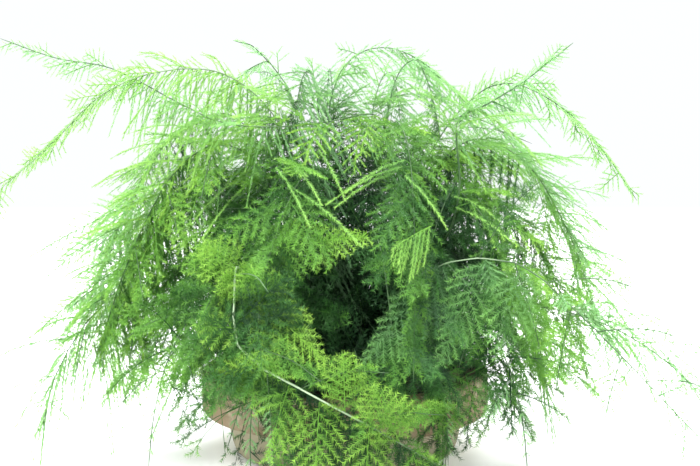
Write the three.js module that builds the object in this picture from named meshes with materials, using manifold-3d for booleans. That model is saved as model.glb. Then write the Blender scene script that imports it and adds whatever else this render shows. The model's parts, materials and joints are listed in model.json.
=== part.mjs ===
// A plumose asparagus fern in a wide terracotta pot. Millimetres, +Z up.
// The origin is the middle of the pot's flat underside.
import * as THREE from "three";
import { mergeVertices } from "three/addons/utils/BufferGeometryUtils.js";
import Module from "manifold-3d";

// ---- Driving dimensions ----

const SEAT_GAP = 0.3; // between solids that touch

const RIM_RADIUS = 160;
const RIM_WALL = 14;
const POT_HEIGHT = 92;
const RIM_BAND = 46; // height of the heavy band round the mouth
const BODY_TOP_RADIUS = 134;
const BASE_RADIUS = 125;
const BODY_WALL = 11;
const FLOOR_THICKNESS = 12;
const LATHE_SIDES = 28;
const DRAIN_RADIUS = 8;
const DRAIN_CIRCLE = 66; // the drain holes stand on this radius, clear of the middle
const DRAIN_COUNT = 3;

const SOIL_LEVEL = 74; // at the pot's wall
const SOIL_CROWN = 82; // in the middle
const ROOT_DEPTH = 16; // how far a stem goes down into its hole
const COLLAR = 20; // a stem stands upright this far from its root's end
const HOLE_CLEARANCE = 0.35;
const ROOTS_RADIUS = 96; // the stems come up inside this circle

const STEM_RADIUS = 1.7; // from the middle of a stem to its corners, at the root
const STEM_TIP_RADIUS = 1.05;
const RIB_RADIUS = 1.05; // the same for the rib of a side spray

const ARCH_COUNT = 27; // stems that arch outwards, from the outermost shell inwards
const CROWN_COUNT = 5; // stems that stand nearly upright in the middle
const GOLDEN_TURN = Math.PI * (3 - Math.sqrt(5));
const DEPTH_SCALE = 0.92; // the mound is a little shallower than it is wide

// How far a stem reaches from the pot's axis, the level it curves up to, and its tip's level.
const OUTER_ARCH = { reach: 322, crest: 480, tip: 150 };
const INNER_ARCH = { reach: 238, crest: 225, tip: 26 };
const CROWN_ARCH = { reach: 130, crest: 474, tip: 352 };

const BARE_STEP = 46; // length of the plain lengths of a stem
const COMB_STEP = 25; // a step of a comb carries two branchlets on each side
const COMB_LOBE = 70; // the longest branchlet
const COMB_DROOP = 0.16; // how far a branchlet's tip hangs, as a share of its length
const RIB_STEP = 21; // the same for the rib of a side spray
const RIB_LOBE = 40;
const RIB_DROOP = 0.1;
const RIB_END = 15; // the rib runs on this far past its last branchlets
const STEP_TAPER = 1.3; // the first step of a spray is this much longer than the mean
const PAIR_PLACES = [0.25, 0.75]; // where the tips of a pair stand, as shares of the step
const PAIR_SHIFT = 1 / 12; // brings them there from the middles of their roots
const SIDE_SPRAY = 92; // length of the longest side spray
const SIDE_PITCH = 36; // between side sprays, which alternate
const SIDE_ROOT = 7; // height of a side spray's root on the stem
const SIDE_NECK = 9; // bare length of its rib
const SIDE_LEAN = 56; // degrees from the way the stem grows
const SIDE_DROOP = 0.42; // how far the rib bends down at its end
const END_COMB = 62; // a stem with side sprays ends in a small comb this long
const END_COMB_SHARE = 0.62; // with branchlets this much shorter
const STEM_END = 14; // the bare point of a stem

const SAMPLE_STEP = 6; // spacing of the points that stand for a stem, rib or branchlet
const LEAST_APART = 6.8; // between the points of one spray and of another
const CLEARANCE = 1.4; // between their surfaces
const GROUND_CLEARANCE = 3;
const RIM_CLEARANCE = 4;
const ARCH_TRIES = 40;

// A dark hollow in the front of the mound, where the long stems come out.
const HOLLOW_FROM = new THREE.Vector3(20, -40, 176);
const HOLLOW_TO = new THREE.Vector3(27, -330, 214);
const HOLLOW_RADIUS = 32;

// ---- Small tools ----

const UP = new THREE.Vector3(0, 0, 1);
const DEGREE = Math.PI / 180;
const lerp = THREE.MathUtils.lerp;

// A fixed run of numbers from 0 to 1.
function seeded(seed) {
  let state = seed;
  return () => {
    state = (state * 1664525 + 1013904223) % 4294967296;
    return state / 4294967296;
  };
}

const sum = (start, ...terms) => {
  const total = start.clone();
  for (const [vector, factor] of terms) total.addScaledVector(vector, factor);
  return total;
};

// The part of a vector that is square to a direction, at length 1.
const squareTo = (vector, direction) =>
  sum(vector, [direction, -vector.dot(direction)]).normalize();

const wasm = await Module();
wasm.setup();

function toSolid(geometry) {
  const bare = geometry.clone();
  bare.deleteAttribute("normal");
  bare.deleteAttribute("uv");
  const merged = mergeVertices(bare, 1e-4);
  return new wasm.Manifold(
    new wasm.Mesh({
      numProp: 3,
      vertProperties: merged.attributes.position.array,
      triVerts: new Uint32Array(merged.index.array),
    }),
  );
}

function toGeometry(solid) {
  const mesh = solid.getMesh();
  const geometry = new THREE.BufferGeometry();
  const points = new THREE.Float32BufferAttribute(mesh.vertProperties, 3);
  geometry.setAttribute("position", points);
  geometry.setIndex(new THREE.Uint32BufferAttribute(mesh.triVerts, 1));
  return geometry;
}

// ---- A growing skin of three-sided tubes ----
// Stems and ribs are three-sided tubes. One side is plain. The other two, on the left and on the
// right, carry pairs of branchlets, or start a tube of their own. So a stem is one closed skin.

// The corners of a ring. The left side is between the first two, the right side between the last
// and the first. right x front is the way the tube grows.
const CORNER_TURNS = [90, 210, 330].map((angle) => angle * DEGREE);

function ringCorners(centre, right, front, radius) {
  return CORNER_TURNS.map((turn) =>
    sum(centre, [right, radius * Math.cos(turn)], [front, radius * Math.sin(turn)]),
  );
}

const LEFT = 0;
const RIGHT = 2;
const handOf = (side) => ({ [LEFT]: -1, [RIGHT]: 1 })[side] ?? 0;

class Skin {
  constructor() {
    this.points = [];
    this.faces = [];
  }

  add(points) {
    return points.map((point) => this.points.push(point) - 1);
  }

  close(outline) {
    for (let k = 1; k < outline.length - 1; k += 1)
      this.faces.push([outline[0], outline[k], outline[k + 1]]);
  }

  // Draws an outline of corners out to a point.
  point(outline, tip) {
    const [top] = this.add([tip]);
    outline.forEach((corner, k) => this.close([corner, outline[(k + 1) % outline.length], top]));
  }

  // Draws the near and the far part of a side out to a point each. They meet in its middle.
  pointPair([a, b, c, d], { middle, tips }) {
    const [centre] = this.add([middle]);
    this.point([a, b, centre], tips[0]);
    this.point([c, d, centre], tips[1]);
    this.close([b, c, centre]);
    this.close([d, a, centre]);
  }

  // Joins two rings. dress(side, outline) may take a side over by returning true.
  join(ringA, ringB, dress = () => false) {
    ringA.forEach((corner, side) => {
      const next = (side + 1) % ringA.length;
      const outline = [corner, ringA[next], ringB[next], ringB[side]];
      if (!dress(side, outline)) this.close(outline);
    });
  }

  // Joins the four corners of a side to the ring that starts a tube there.
  sprout([a, b, c, d], [first, second, third]) {
    this.close([a, b, second, first]);
    this.close([b, c, third, second]);
    this.close([c, d, first, third]);
    this.close([d, a, first]);
  }

  geometry() {
    const geometry = new THREE.BufferGeometry();
    const flat = this.points.flatMap((p) => [p.x, p.y, p.z]);
    geometry.setAttribute("position", new THREE.Float32BufferAttribute(flat, 3));
    geometry.setIndex(this.faces.flat());
    geometry.computeVertexNormals();
    return geometry;
  }
}

// ---- Room between the stems ----
// Sample points stand for what is already placed. A new spray is bent until its own points are
// clear of those of every other spray.

class Room {
  constructor(cell) {
    this.cell = cell;
    this.cells = new Map();
  }

  key(x, y, z) {
    return `${x},${y},${z}`;
  }

  add(samples, owner) {
    for (const { at, radius } of samples) {
      const [x, y, z] = at.toArray().map((v) => Math.floor(v / this.cell));
      const key = this.key(x, y, z);
      if (!this.cells.has(key)) this.cells.set(key, []);
      this.cells.get(key).push({ at, radius, owner });
    }
  }

  isClear({ at, radius }, ignore) {
    const [x, y, z] = at.toArray().map((v) => Math.floor(v / this.cell));
    for (let i = x - 1; i <= x + 1; i += 1)
      for (let j = y - 1; j <= y + 1; j += 1)
        for (let k = z - 1; k <= z + 1; k += 1)
          for (const other of this.cells.get(this.key(i, j, k)) ?? []) {
            if (ignore(other)) continue;
            const apart = Math.max(LEAST_APART, radius + other.radius + CLEARANCE);
            if (other.at.distanceTo(at) < apart) return false;
          }
    return true;
  }
}

const room = new Room(16);

const hollow = new THREE.Line3(HOLLOW_FROM, HOLLOW_TO);

// False in the pot, below the ground, and in the hollow.
function isOpenAir(at) {
  const fromAxis = Math.hypot(at.x, at.y);
  if (at.z < GROUND_CLEARANCE) return false;
  if (fromAxis < RIM_RADIUS + RIM_CLEARANCE && at.z < POT_HEIGHT + RIM_CLEARANCE) return false;
  const nearest = hollow.closestPointToPoint(at, true, new THREE.Vector3());
  return nearest.distanceTo(at) > HOLLOW_RADIUS;
}

// Points along a straight piece that tapers to nothing.
function tapered(root, tip, radius) {
  const length = root.distanceTo(tip);
  const count = Math.max(2, Math.ceil(length / SAMPLE_STEP));
  const samples = [];
  for (let k = 1; k <= count; k += 1) {
    const part = k / count;
    samples.push({ at: root.clone().lerp(tip, part), radius: radius * (1 - part) });
  }
  return samples;
}

// ---- The course of a stem ----

// Frames along a stem: where it is, which way it goes, its flat side's two directions.
// It stands upright in its hole, and is a smooth curve from there.
class Course {
  constructor({ foot, points, across, roll = 0 }) {
    this.root = new THREE.Vector3(foot.x, foot.y, SOIL_CROWN - ROOT_DEPTH);
    const collar = sum(this.root, [UP, COLLAR]);
    const start = [collar, sum(collar, [UP, 0.5 * COLLAR])];
    this.curve = new THREE.CatmullRomCurve3([...start, ...points], false, "centripetal");
    this.length = COLLAR + this.curve.getLength();
    this.across = across;
    this.roll = roll;
  }

  at(distance) {
    const part = THREE.MathUtils.clamp(distance / this.length, 0, 1);
    const free = Math.max(0, (distance - COLLAR) / (this.length - COLLAR));
    const isBuried = distance < COLLAR;
    const centre = isBuried ? sum(this.root, [UP, distance]) : this.curve.getPointAt(free);
    const ahead = isBuried ? UP.clone() : this.curve.getTangentAt(free).normalize();
    const side = squareTo(this.across, ahead);
    side.applyAxisAngle(ahead, this.roll * Math.min(1, 2.2 * free));
    const face = new THREE.Vector3().crossVectors(ahead, side);
    const radius = lerp(STEM_RADIUS, STEM_TIP_RADIUS, part);
    return { centre, ahead, side, face, radius };
  }
}

// The arching stems lie in nested shells: the first come up in the middle, climb highest and fall
// outside all others, and the last come up by the rim and stay low.
function archCourse({ azimuth, rootRadius, reach, crest, tip, sway, roll }) {
  const rise = crest - SOIL_LEVEL;
  const radii = [rootRadius, rootRadius + 0.04 * reach, 0.62 * reach, reach];
  const heights = [SOIL_CROWN, SOIL_LEVEL + 0.85 * rise, SOIL_LEVEL + 1.09 * rise, tip];
  const profile = new THREE.CubicBezierCurve(
    ...radii.map((radius, k) => new THREE.Vector2(radius, heights[k])),
  );
  const place = (part) => {
    const { x: radius, y: height } = profile.getPoint(part);
    const turn = azimuth + sway * part * part;
    return new THREE.Vector3(
      radius * Math.cos(turn),
      radius * Math.sin(turn) * DEPTH_SCALE,
      height,
    );
  };
  const points = [0.17, 0.34, 0.52, 0.7, 0.86, 1].map(place);
  const across = new THREE.Vector3(-Math.sin(azimuth), Math.cos(azimuth), 0);
  return new Course({ foot: place(0), points, across, roll });
}

// A long stem that leaves the mound, through points of its own.
function longCourse({ foot, through, across }) {
  return new Course({
    foot: new THREE.Vector3(...foot, 0),
    points: through.map((place) => new THREE.Vector3(...place)),
    across: new THREE.Vector3(...across),
  });
}

// ---- Sprays ----

// How far along a spray a branchlet stands, from 0 to 1, gives its share of the longest.
const combShare = (part) => Math.min(1, 0.42 + 3.2 * part) * (1 - 0.74 * part);
const ribShare = (part) => Math.min(1, 0.62 + 2.2 * part) * (1 - 0.66 * part);

// What is tried, one after the other, until a spray or branchlet is clear of everything else.
const CUTS = [1, 0.78, 0.56, 0.38];
const TILTS = [0, 13, -13, 26, -26, 40, -40, 58, -58].map((angle) => angle * DEGREE);

// The way a branchlet goes: forward and outward from its rib, and tilted off the flat of the spray.
function leaningWay({ ahead, outward, face, lean, tilt }) {
  const level = sum(ahead.clone().multiplyScalar(Math.cos(lean)), [outward, Math.sin(lean)]);
  return sum(level.multiplyScalar(Math.cos(tilt)), [face, Math.sin(tilt)]);
}

// Where the steps of a spray end, from 0 to 1. They get shorter towards its tip.
const stepEnd = (part) => part * (STEP_TAPER + (1 - STEP_TAPER) * part);

// Two branchlets on one side of a step. They go the same way, so they stay apart.
function branchletPair([a, b, c, d], way, lengths, droop) {
  const along = sum(d, [a, -1]);
  const middle = sum(a, [b, 1], [c, 1], [d, 1]).divideScalar(4);
  const ends = [{ of: [a, b], shift: PAIR_SHIFT }, { of: [c, d], shift: -PAIR_SHIFT }];
  const samples = [];
  const tips = ends.map(({ of: [p, q], shift }, k) => {
    const root = sum(p, [q, 1], [middle, 1]).divideScalar(3);
    const length = lengths[k];
    const tip = sum(root, [way, length], [along, shift], [UP, -droop * length]);
    samples.push(...tapered(root, tip, along.length() / 4.5));
    return tip;
  });
  return { middle, tips, samples };
}

const hasRoom = (samples, ignore) =>
  samples.every((sample) => isOpenAir(sample.at) && room.isClear(sample, ignore));

// A stem as it grows: its skin, the last ring, and how far it has come.
class Stem {
  constructor(spec) {
    Object.assign(this, spec);
    this.skin = new Skin();
    this.reached = 0;
    this.ring = this.skin.add(this.cornersAt(0));
    this.skin.close([...this.ring].reverse());
  }

  cornersAt(distance) {
    const { centre, side, face, radius } = this.course.at(distance);
    return ringCorners(centre, side, face, radius);
  }

  // Grows to a distance from the root. dress(hand, outline) may take the left or the right side.
  growTo(distance, dress = () => false) {
    const next = this.skin.add(this.cornersAt(distance));
    this.skin.join(this.ring, next, (side, outline) => {
      const hand = handOf(side);
      return hand !== 0 && dress(hand, outline);
    });
    this.ring = next;
    this.reached = distance;
  }

  finish() {
    this.skin.point(this.ring, this.course.at(this.course.length).centre);
    return this.skin.geometry();
  }
}

// A comb: branchlets straight from the stem, in pairs on both sides of every step.
function growComb(stem, end, longest) {
  const { course, random, name, skin } = stem;
  const from = stem.reached;
  const steps = Math.max(1, Math.round((end - from) / COMB_STEP));
  const isOwn = (other) => other.owner === name;
  for (let k = 0; k < steps; k += 1) {
    const part = stepEnd((k + 0.5) / steps);
    const { ahead, side, face } = course.at(lerp(from, end, part));
    const shares = PAIR_PLACES.map((place) => combShare(stepEnd((k + place) / steps)));
    const lean = lerp(62, 34, part) * DEGREE;
    stem.growTo(lerp(from, end, stepEnd((k + 1) / steps)), (hand, outline) => {
      const outward = side.clone().multiplyScalar(hand);
      const places = outline.map((corner) => skin.points[corner]);
      const lengths = shares.map((share) => longest * share * lerp(0.84, 1.1, random()));
      const ownTilt = lerp(-8, 8, random()) * DEGREE;
      for (const cut of CUTS)
        for (const tilt of TILTS) {
          const way = leaningWay({ ahead, outward, face, lean, tilt: ownTilt + tilt });
          const cutLengths = lengths.map((length) => length * cut);
          const pair = branchletPair(places, way, cutLengths, COMB_DROOP);
          if (!hasRoom(pair.samples, isOwn)) continue;
          room.add(pair.samples, name);
          skin.pointPair(outline, pair);
          return true;
        }
      return false;
    });
  }
}

// The pairs of branchlets on the two sides of one step of a rib.
function ribPairs({ near, far, ahead, forward, face, part, shares, random }) {
  const pairs = {};
  for (const edge of [LEFT, RIGHT]) {
    const after = (edge + 1) % near.length;
    const outline = [near[edge], near[after], far[after], far[edge]];
    const outward = forward.clone().multiplyScalar(handOf(edge));
    const lengths = shares.map((share) => RIB_LOBE * share * lerp(0.86, 1.1, random()));
    const lean = lerp(58, 40, part) * DEGREE;
    const tilt = lerp(-7, 7, random()) * DEGREE;
    const way = leaningWay({ ahead, outward, face, lean, tilt });
    pairs[edge] = branchletPair(outline, way, lengths, RIB_DROOP);
  }
  return pairs;
}

// A side spray: a rib with pairs of branchlets on both sides, all in one thin arched sheet.
function sideSpray(base, hand, tilt, length, random) {
  const count = Math.max(2, Math.round(length / RIB_STEP));
  const outward = base.side.clone().multiplyScalar(hand);
  const start = leaningWay({ ...base, outward, lean: SIDE_LEAN * DEGREE, tilt });
  const rings = [];
  const steps = [];
  const samples = [];
  let centre = sum(base.centre, [outward, base.radius]);
  let ahead = start;
  for (let k = 0; k <= count; k += 1) {
    const part = k / count;
    ahead = sum(start, [UP, -SIDE_DROOP * part * part]).normalize();
    const face = squareTo(base.face, ahead).multiplyScalar(-hand);
    const forward = new THREE.Vector3().crossVectors(face, ahead);
    const advance = k === 0 ? SIDE_NECK : length * (stepEnd(part) - stepEnd(part - 1 / count));
    centre = sum(centre, [ahead, advance]);
    rings.push(ringCorners(centre, forward, face, RIB_RADIUS));
    samples.push({ at: centre, radius: RIB_RADIUS });
    if (k === 0) continue;
    const [near, far] = rings.slice(-2);
    const shares = PAIR_PLACES.map((place) => ribShare(stepEnd((k - 1 + place) / count)));
    const pairs = ribPairs({ near, far, ahead, forward, face, part, shares, random });
    samples.push(...pairs[LEFT].samples, ...pairs[RIGHT].samples);
    steps.push({ ring: far, pairs });
  }
  const end = sum(centre, [ahead, RIB_END]);
  samples.push(...tapered(centre, end, RIB_RADIUS));
  return { firstRing: rings[0], steps, samples, end };
}

function fitSideSpray(base, hand, longest, seed, ignore) {
  for (const cut of CUTS)
    for (const tilt of TILTS) {
      const spray = sideSpray(base, hand, tilt, longest * cut, seeded(seed));
      if (hasRoom(spray.samples, ignore)) return spray;
    }
  return null;
}

// Draws a side spray out of one side of its stem.
function addSideSpray(skin, outline, { firstRing, steps, end }) {
  let ring = skin.add(firstRing);
  skin.sprout(outline, ring);
  for (const { ring: places, pairs } of steps) {
    const next = skin.add(places);
    skin.join(ring, next, (side, edge) => {
      if (pairs[side]) skin.pointPair(edge, pairs[side]);
      return Boolean(pairs[side]);
    });
    ring = next;
  }
  skin.point(ring, end);
}

// Side sprays on alternate sides of the stem, each bent or shortened until it is clear.
function growSideSprays(stem, end, longest) {
  const { course, random, name, skin } = stem;
  const from = stem.reached;
  const count = Math.max(2, Math.round((end - from) / SIDE_PITCH));
  for (let k = 0; k < count; k += 1) {
    const middle = lerp(from, end, (k + 0.5) / count);
    const base = course.at(middle);
    const sprayHand = (k + stem.firstSide) % 2 === 0 ? 1 : -1;
    const length = longest * lerp(1, 0.5, k / count) * lerp(0.9, 1.08, random());
    const seed = Math.floor(1e9 * random());
    const isOwnStem = (other) => other.owner === name && other.at.distanceTo(base.centre) < 24;
    const spray = fitSideSpray(base, sprayHand, length, seed, isOwnStem);
    stem.growTo(middle - SIDE_ROOT / 2);
    stem.growTo(middle + SIDE_ROOT / 2, (hand, outline) => {
      if (!spray || hand !== sprayHand) return false;
      addSideSpray(skin, outline, spray);
      return true;
    });
    if (spray) room.add(spray.samples, `${name}/${k}`);
  }
}

// ---- Stems ----

// Samples along the stem itself, so that no spray crosses it.
function stemSamples(course) {
  const samples = [];
  for (let s = COLLAR; s < course.length; s += SAMPLE_STEP)
    samples.push({ at: course.at(s).centre, radius: STEM_RADIUS });
  return samples;
}

function growStem(spec) {
  const stem = new Stem(spec);
  const { course, bare, kind, lobe, spray } = stem;
  const start = bare * course.length;
  const end = course.length - STEM_END;
  const plain = Math.max(1, Math.round((start - COLLAR) / BARE_STEP));
  for (let k = 0; k <= plain; k += 1) stem.growTo(lerp(COLLAR, start, k / plain));
  if (kind === "sprays") growSideSprays(stem, end - END_COMB, spray);
  growComb(stem, end, kind === "sprays" ? END_COMB_SHARE * lobe : lobe);
  return stem.finish();
}

// ---- The long stems ----
// Each goes from its foot in the soil through the points of its own course.

const LONG_STEMS = [
  {
    name: "stem_left_arch",
    foot: [34, -18],
    through: [
      [44, -40, 240], [47, -72, 340], [40, -92, 374], [0, -108, 372], [-48, -122, 366],
      [-118, -122, 368], [-160, -106, 384], [-243, -80, 424], [-300, -70, 434], [-362, -60, 455],
    ],
    across: [0, 0.5, 0.9],
    bare: 0.62,
    kind: "comb",
    lobe: 46,
  },
  {
    name: "stem_left_droop",
    foot: [-20, -10],
    through: [
      [-34, -30, 230], [-70, -54, 366], [-126, -78, 418], [-190, -92, 420], [-246, -104, 398],
      [-300, -112, 346], [-352, -120, 300],
    ],
    across: [0.2, 0.7, 0.7],
    bare: 0.42,
    kind: "comb",
    lobe: 64,
  },
  {
    name: "stem_top_spray",
    foot: [-4, 8],
    through: [
      [-10, 6, 230], [-18, 4, 370], [-2, 0, 424], [34, -8, 446], [78, -20, 434], [112, -26, 404],
    ],
    across: [0.3, -0.8, 0.5],
    bare: 0.6,
    kind: "comb",
    lobe: 62,
  },
  {
    name: "stem_right_wire",
    foot: [42, 12],
    through: [
      [84, -40, 200], [112, -112, 270], [117, -122, 340], [110, -112, 368], [140, -100, 384],
      [182, -82, 408], [238, -68, 450],
    ],
    across: [0.4, -0.5, 0.75],
    bare: 0.66,
    kind: "comb",
    lobe: 60,
  },
  {
    name: "stem_right_droop",
    foot: [18, 28],
    through: [
      [60, 10, 250], [118, -34, 372], [166, -58, 408], [222, -72, 386], [270, -78, 338],
      [306, -80, 286],
    ],
    across: [-0.2, 0.85, 0.45],
    bare: 0.45,
    kind: "comb",
    lobe: 70,
  },
  {
    name: "stem_right_trail",
    foot: [30, -52],
    through: [
      [28, -96, 130], [52, -160, 200], [100, -214, 240], [138, -232, 246], [172, -238, 238],
      [200, -240, 214], [246, -238, 170], [302, -232, 112], [350, -222, 62],
    ],
    across: [0.5, -0.35, 0.8],
    bare: 0.3,
    kind: "sprays",
    lobe: 56,
    spray: 88,
  },
  {
    name: "stem_front_trail",
    foot: [-46, -58],
    through: [
      [-78, -110, 178], [-104, -196, 232], [-104, -224, 206], [-104, -236, 174], [-88, -242, 152],
      [-42, -250, 126], [34, -258, 86], [104, -262, 46],
    ],
    across: [0.35, -0.3, 0.9],
    bare: 0.42,
    kind: "sprays",
    lobe: 48,
    spray: 96,
  },
  {
    name: "stem_right_low",
    foot: [60, -20],
    through: [
      [110, -44, 150], [190, -90, 176], [270, -110, 160], [338, -120, 118], [392, -126, 60],
    ],
    across: [0, 0.85, 0.5],
    bare: 0.36,
    kind: "comb",
    lobe: 58,
  },
  {
    name: "stem_front_left",
    foot: [-66, -52],
    through: [
      [-100, -110, 160], [-140, -168, 190], [-166, -200, 156], [-182, -220, 98], [-188, -228, 44],
    ],
    across: [0.8, -0.5, 0],
    bare: 0.24,
    kind: "sprays",
    lobe: 58,
    spray: 74,
  },
  {
    name: "stem_front_middle",
    foot: [6, -78],
    through: [
      [8, -128, 132], [10, -178, 148], [16, -210, 122], [20, -224, 78], [22, -230, 34],
    ],
    across: [1, 0, 0],
    bare: 0.22,
    kind: "sprays",
    lobe: 58,
    spray: 78,
  },
  {
    name: "stem_front_low_left",
    foot: [-34, -76],
    through: [
      [-52, -128, 138], [-72, -176, 154], [-84, -208, 128], [-90, -222, 84], [-90, -228, 34],
    ],
    across: [1, 0, 0],
    bare: 0.26,
    kind: "comb",
    lobe: 62,
  },
  {
    name: "stem_front_low_right",
    foot: [36, -78],
    through: [
      [54, -130, 152], [74, -180, 168], [90, -210, 136], [98, -222, 92], [100, -226, 44],
    ],
    across: [1, 0.2, 0],
    bare: 0.26,
    kind: "comb",
    lobe: 62,
  },
  {
    name: "stem_front_right",
    foot: [58, -62],
    through: [
      [92, -126, 170], [128, -178, 186], [154, -206, 150], [170, -222, 94], [176, -228, 40],
    ],
    across: [0.8, 0.5, 0],
    bare: 0.24,
    kind: "sprays",
    lobe: 58,
    spray: 74,
  },
  {
    name: "stem_left_low",
    foot: [-62, -24],
    through: [
      [-120, -50, 170], [-190, -80, 204], [-254, -96, 176], [-300, -104, 110], [-318, -108, 44],
    ],
    across: [0, 0.85, 0.5],
    bare: 0.34,
    kind: "sprays",
    lobe: 50,
    spray: 84,
  },
];

// True where a stem's own line keeps clear of every stem that is already placed.
const isFreeCourse = (course) =>
  stemSamples(course).every((sample) => room.isClear(sample, () => false));

function longStems() {
  return LONG_STEMS.map((spec, index) => {
    const course = longCourse(spec);
    if (!isFreeCourse(course)) throw new Error(`${spec.name} touches another stem`);
    room.add(stemSamples(course), spec.name);
    return { ...spec, course, random: seeded(401 + 37 * index) };
  });
}

// An arching stem is turned a little, one way and the other, until it is free.
function freeArch(shape) {
  for (let attempt = 0; attempt < ARCH_TRIES; attempt += 1) {
    const shift = (attempt % 2 === 0 ? 1 : -1) * Math.ceil(attempt / 2);
    const azimuth = shape.azimuth + 0.03 * shift;
    const course = archCourse({ ...shape, azimuth, sway: shape.sway - 0.06 * shift });
    if (isFreeCourse(course)) return course;
  }
  throw new Error("no room for an arching stem");
}

function archStems() {
  const stems = [];
  const count = CROWN_COUNT + ARCH_COUNT;
  for (let index = 0; index < count; index += 1) {
    const random = seeded(7001 + 59 * index);
    const isCrown = index < CROWN_COUNT;
    const inwards = Math.max(0, index - CROWN_COUNT) / (ARCH_COUNT - 1);
    const pick = (key) =>
      isCrown ? CROWN_ARCH[key] : lerp(OUTER_ARCH[key], INNER_ARCH[key], inwards);
    const course = freeArch({
      azimuth: index * GOLDEN_TURN + 0.9,
      rootRadius: 8 + (ROOTS_RADIUS - 8) * Math.sqrt((index + 0.5) / count),
      reach: pick("reach") * lerp(0.93, 1.05, random()),
      crest: pick("crest") * lerp(0.96, 1.03, random()),
      tip: pick("tip") + lerp(-12, 18, random()),
      sway: lerp(-0.26, 0.26, random()),
      roll: lerp(-34, 34, random()) * DEGREE,
    });
    const number = String(index + 1).padStart(2, "0");
    const stem = {
      name: isCrown ? `stem_crown_${number}` : `stem_arch_${number}`,
      course,
      random,
      kind: index % 4 === 1 ? "sprays" : "comb",
      bare: isCrown ? 0.4 : lerp(0.35, 0.2, inwards),
      lobe: lerp(COMB_LOBE, 0.72 * COMB_LOBE, inwards),
      spray: lerp(SIDE_SPRAY, 0.75 * SIDE_SPRAY, inwards),
    };
    room.add(stemSamples(course), stem.name);
    stems.push(stem);
  }
  return stems;
}

// ---- Pot and soil ----

function latheSolid(profile) {
  const outline = profile.map(([radius, height]) => new THREE.Vector2(radius, height));
  const geometry = new THREE.LatheGeometry(outline, LATHE_SIDES);
  geometry.rotateX(Math.PI / 2);
  return toSolid(geometry);
}

function potGeometry() {
  const bandFoot = POT_HEIGHT - RIM_BAND;
  const mouth = RIM_RADIUS - RIM_WALL;
  const bodyInside = BODY_TOP_RADIUS - BODY_WALL;
  const profile = [
    [0, 0],
    [BASE_RADIUS - 3, 0],
    [BASE_RADIUS, 3],
    [BODY_TOP_RADIUS, bandFoot],
    [RIM_RADIUS - 7, bandFoot],
    [RIM_RADIUS, bandFoot + 6],
    [RIM_RADIUS, POT_HEIGHT - 6],
    [RIM_RADIUS - 5, POT_HEIGHT],
    [mouth + 3, POT_HEIGHT],
    [mouth, POT_HEIGHT - 5],
    [mouth - 1, bandFoot + 14],
    [bodyInside, bandFoot + 4],
    [BASE_RADIUS - BODY_WALL, FLOOR_THICKNESS + 4],
    [BASE_RADIUS - BODY_WALL - 5, FLOOR_THICKNESS],
    [0, FLOOR_THICKNESS],
  ];
  let pot = latheSolid(profile);
  for (let k = 0; k < DRAIN_COUNT; k += 1) {
    const turn = (k / DRAIN_COUNT) * 2 * Math.PI + 0.5;
    const drain = new THREE.CylinderGeometry(DRAIN_RADIUS, DRAIN_RADIUS, 3 * FLOOR_THICKNESS, 12);
    drain.rotateX(Math.PI / 2);
    drain.translate(DRAIN_CIRCLE * Math.cos(turn), DRAIN_CIRCLE * Math.sin(turn), 0);
    pot = pot.subtract(toSolid(drain));
  }
  return toGeometry(pot);
}

function soilGeometry(stems) {
  const bandFoot = POT_HEIGHT - RIM_BAND;
  const floor = FLOOR_THICKNESS + SEAT_GAP;
  const wall = RIM_RADIUS - RIM_WALL - 1 - 2 * SEAT_GAP;
  const profile = [
    [0, floor],
    [BASE_RADIUS - BODY_WALL - 5 - SEAT_GAP, floor],
    [BASE_RADIUS - BODY_WALL - 2 * SEAT_GAP, floor + 4],
    [BODY_TOP_RADIUS - BODY_WALL - 2 * SEAT_GAP, bandFoot + 4 + SEAT_GAP],
    [wall, bandFoot + 14 + SEAT_GAP],
    [wall, SOIL_LEVEL],
    [0.66 * wall, lerp(SOIL_LEVEL, SOIL_CROWN, 0.7)],
    [0, SOIL_CROWN],
  ];
  let soil = latheSolid(profile);
  for (const { course } of stems) {
    const { centre, side, face } = course.at(0);
    const foot = sum(centre, [UP, -SEAT_GAP]);
    const mouth = sum(foot, [UP, 3 * ROOT_DEPTH]);
    const hole = new Skin();
    const [low, high] = [foot, mouth].map((at) =>
      hole.add(ringCorners(at, side, face, STEM_RADIUS + 2 * HOLE_CLEARANCE)),
    );
    hole.close([...low].reverse());
    hole.join(low, high);
    hole.close(high);
    soil = soil.subtract(toSolid(hole.geometry()));
  }
  return toGeometry(soil);
}

// ---- The whole plant ----

const terracotta = new THREE.MeshStandardMaterial({
  color: 0xb0704a,
  roughness: 0.9,
  metalness: 0,
});
const compost = new THREE.MeshStandardMaterial({ color: 0x2c1d12, roughness: 1, metalness: 0 });

function leafMaterial(random) {
  const colour = new THREE.Color(0x4f8f2c).lerp(new THREE.Color(0x9cc94a), 0.7 * random());
  return new THREE.MeshStandardMaterial({ color: colour, roughness: 0.6, metalness: 0 });
}

const stems = [...longStems(), ...archStems()];
const plant = new THREE.Group();

function addPiece(name, geometry, material) {
  const mesh = new THREE.Mesh(geometry, material);
  mesh.name = name;
  plant.add(mesh);
}

addPiece("pot", potGeometry(), terracotta);
addPiece("soil", soilGeometry(stems), compost);
stems.forEach((stem, index) => {
  const geometry = growStem({ ...stem, firstSide: index % 2 });
  addPiece(stem.name, geometry, leafMaterial(stem.random));
});

export default plant;
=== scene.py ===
import json
import math
from typing import NamedTuple

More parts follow.
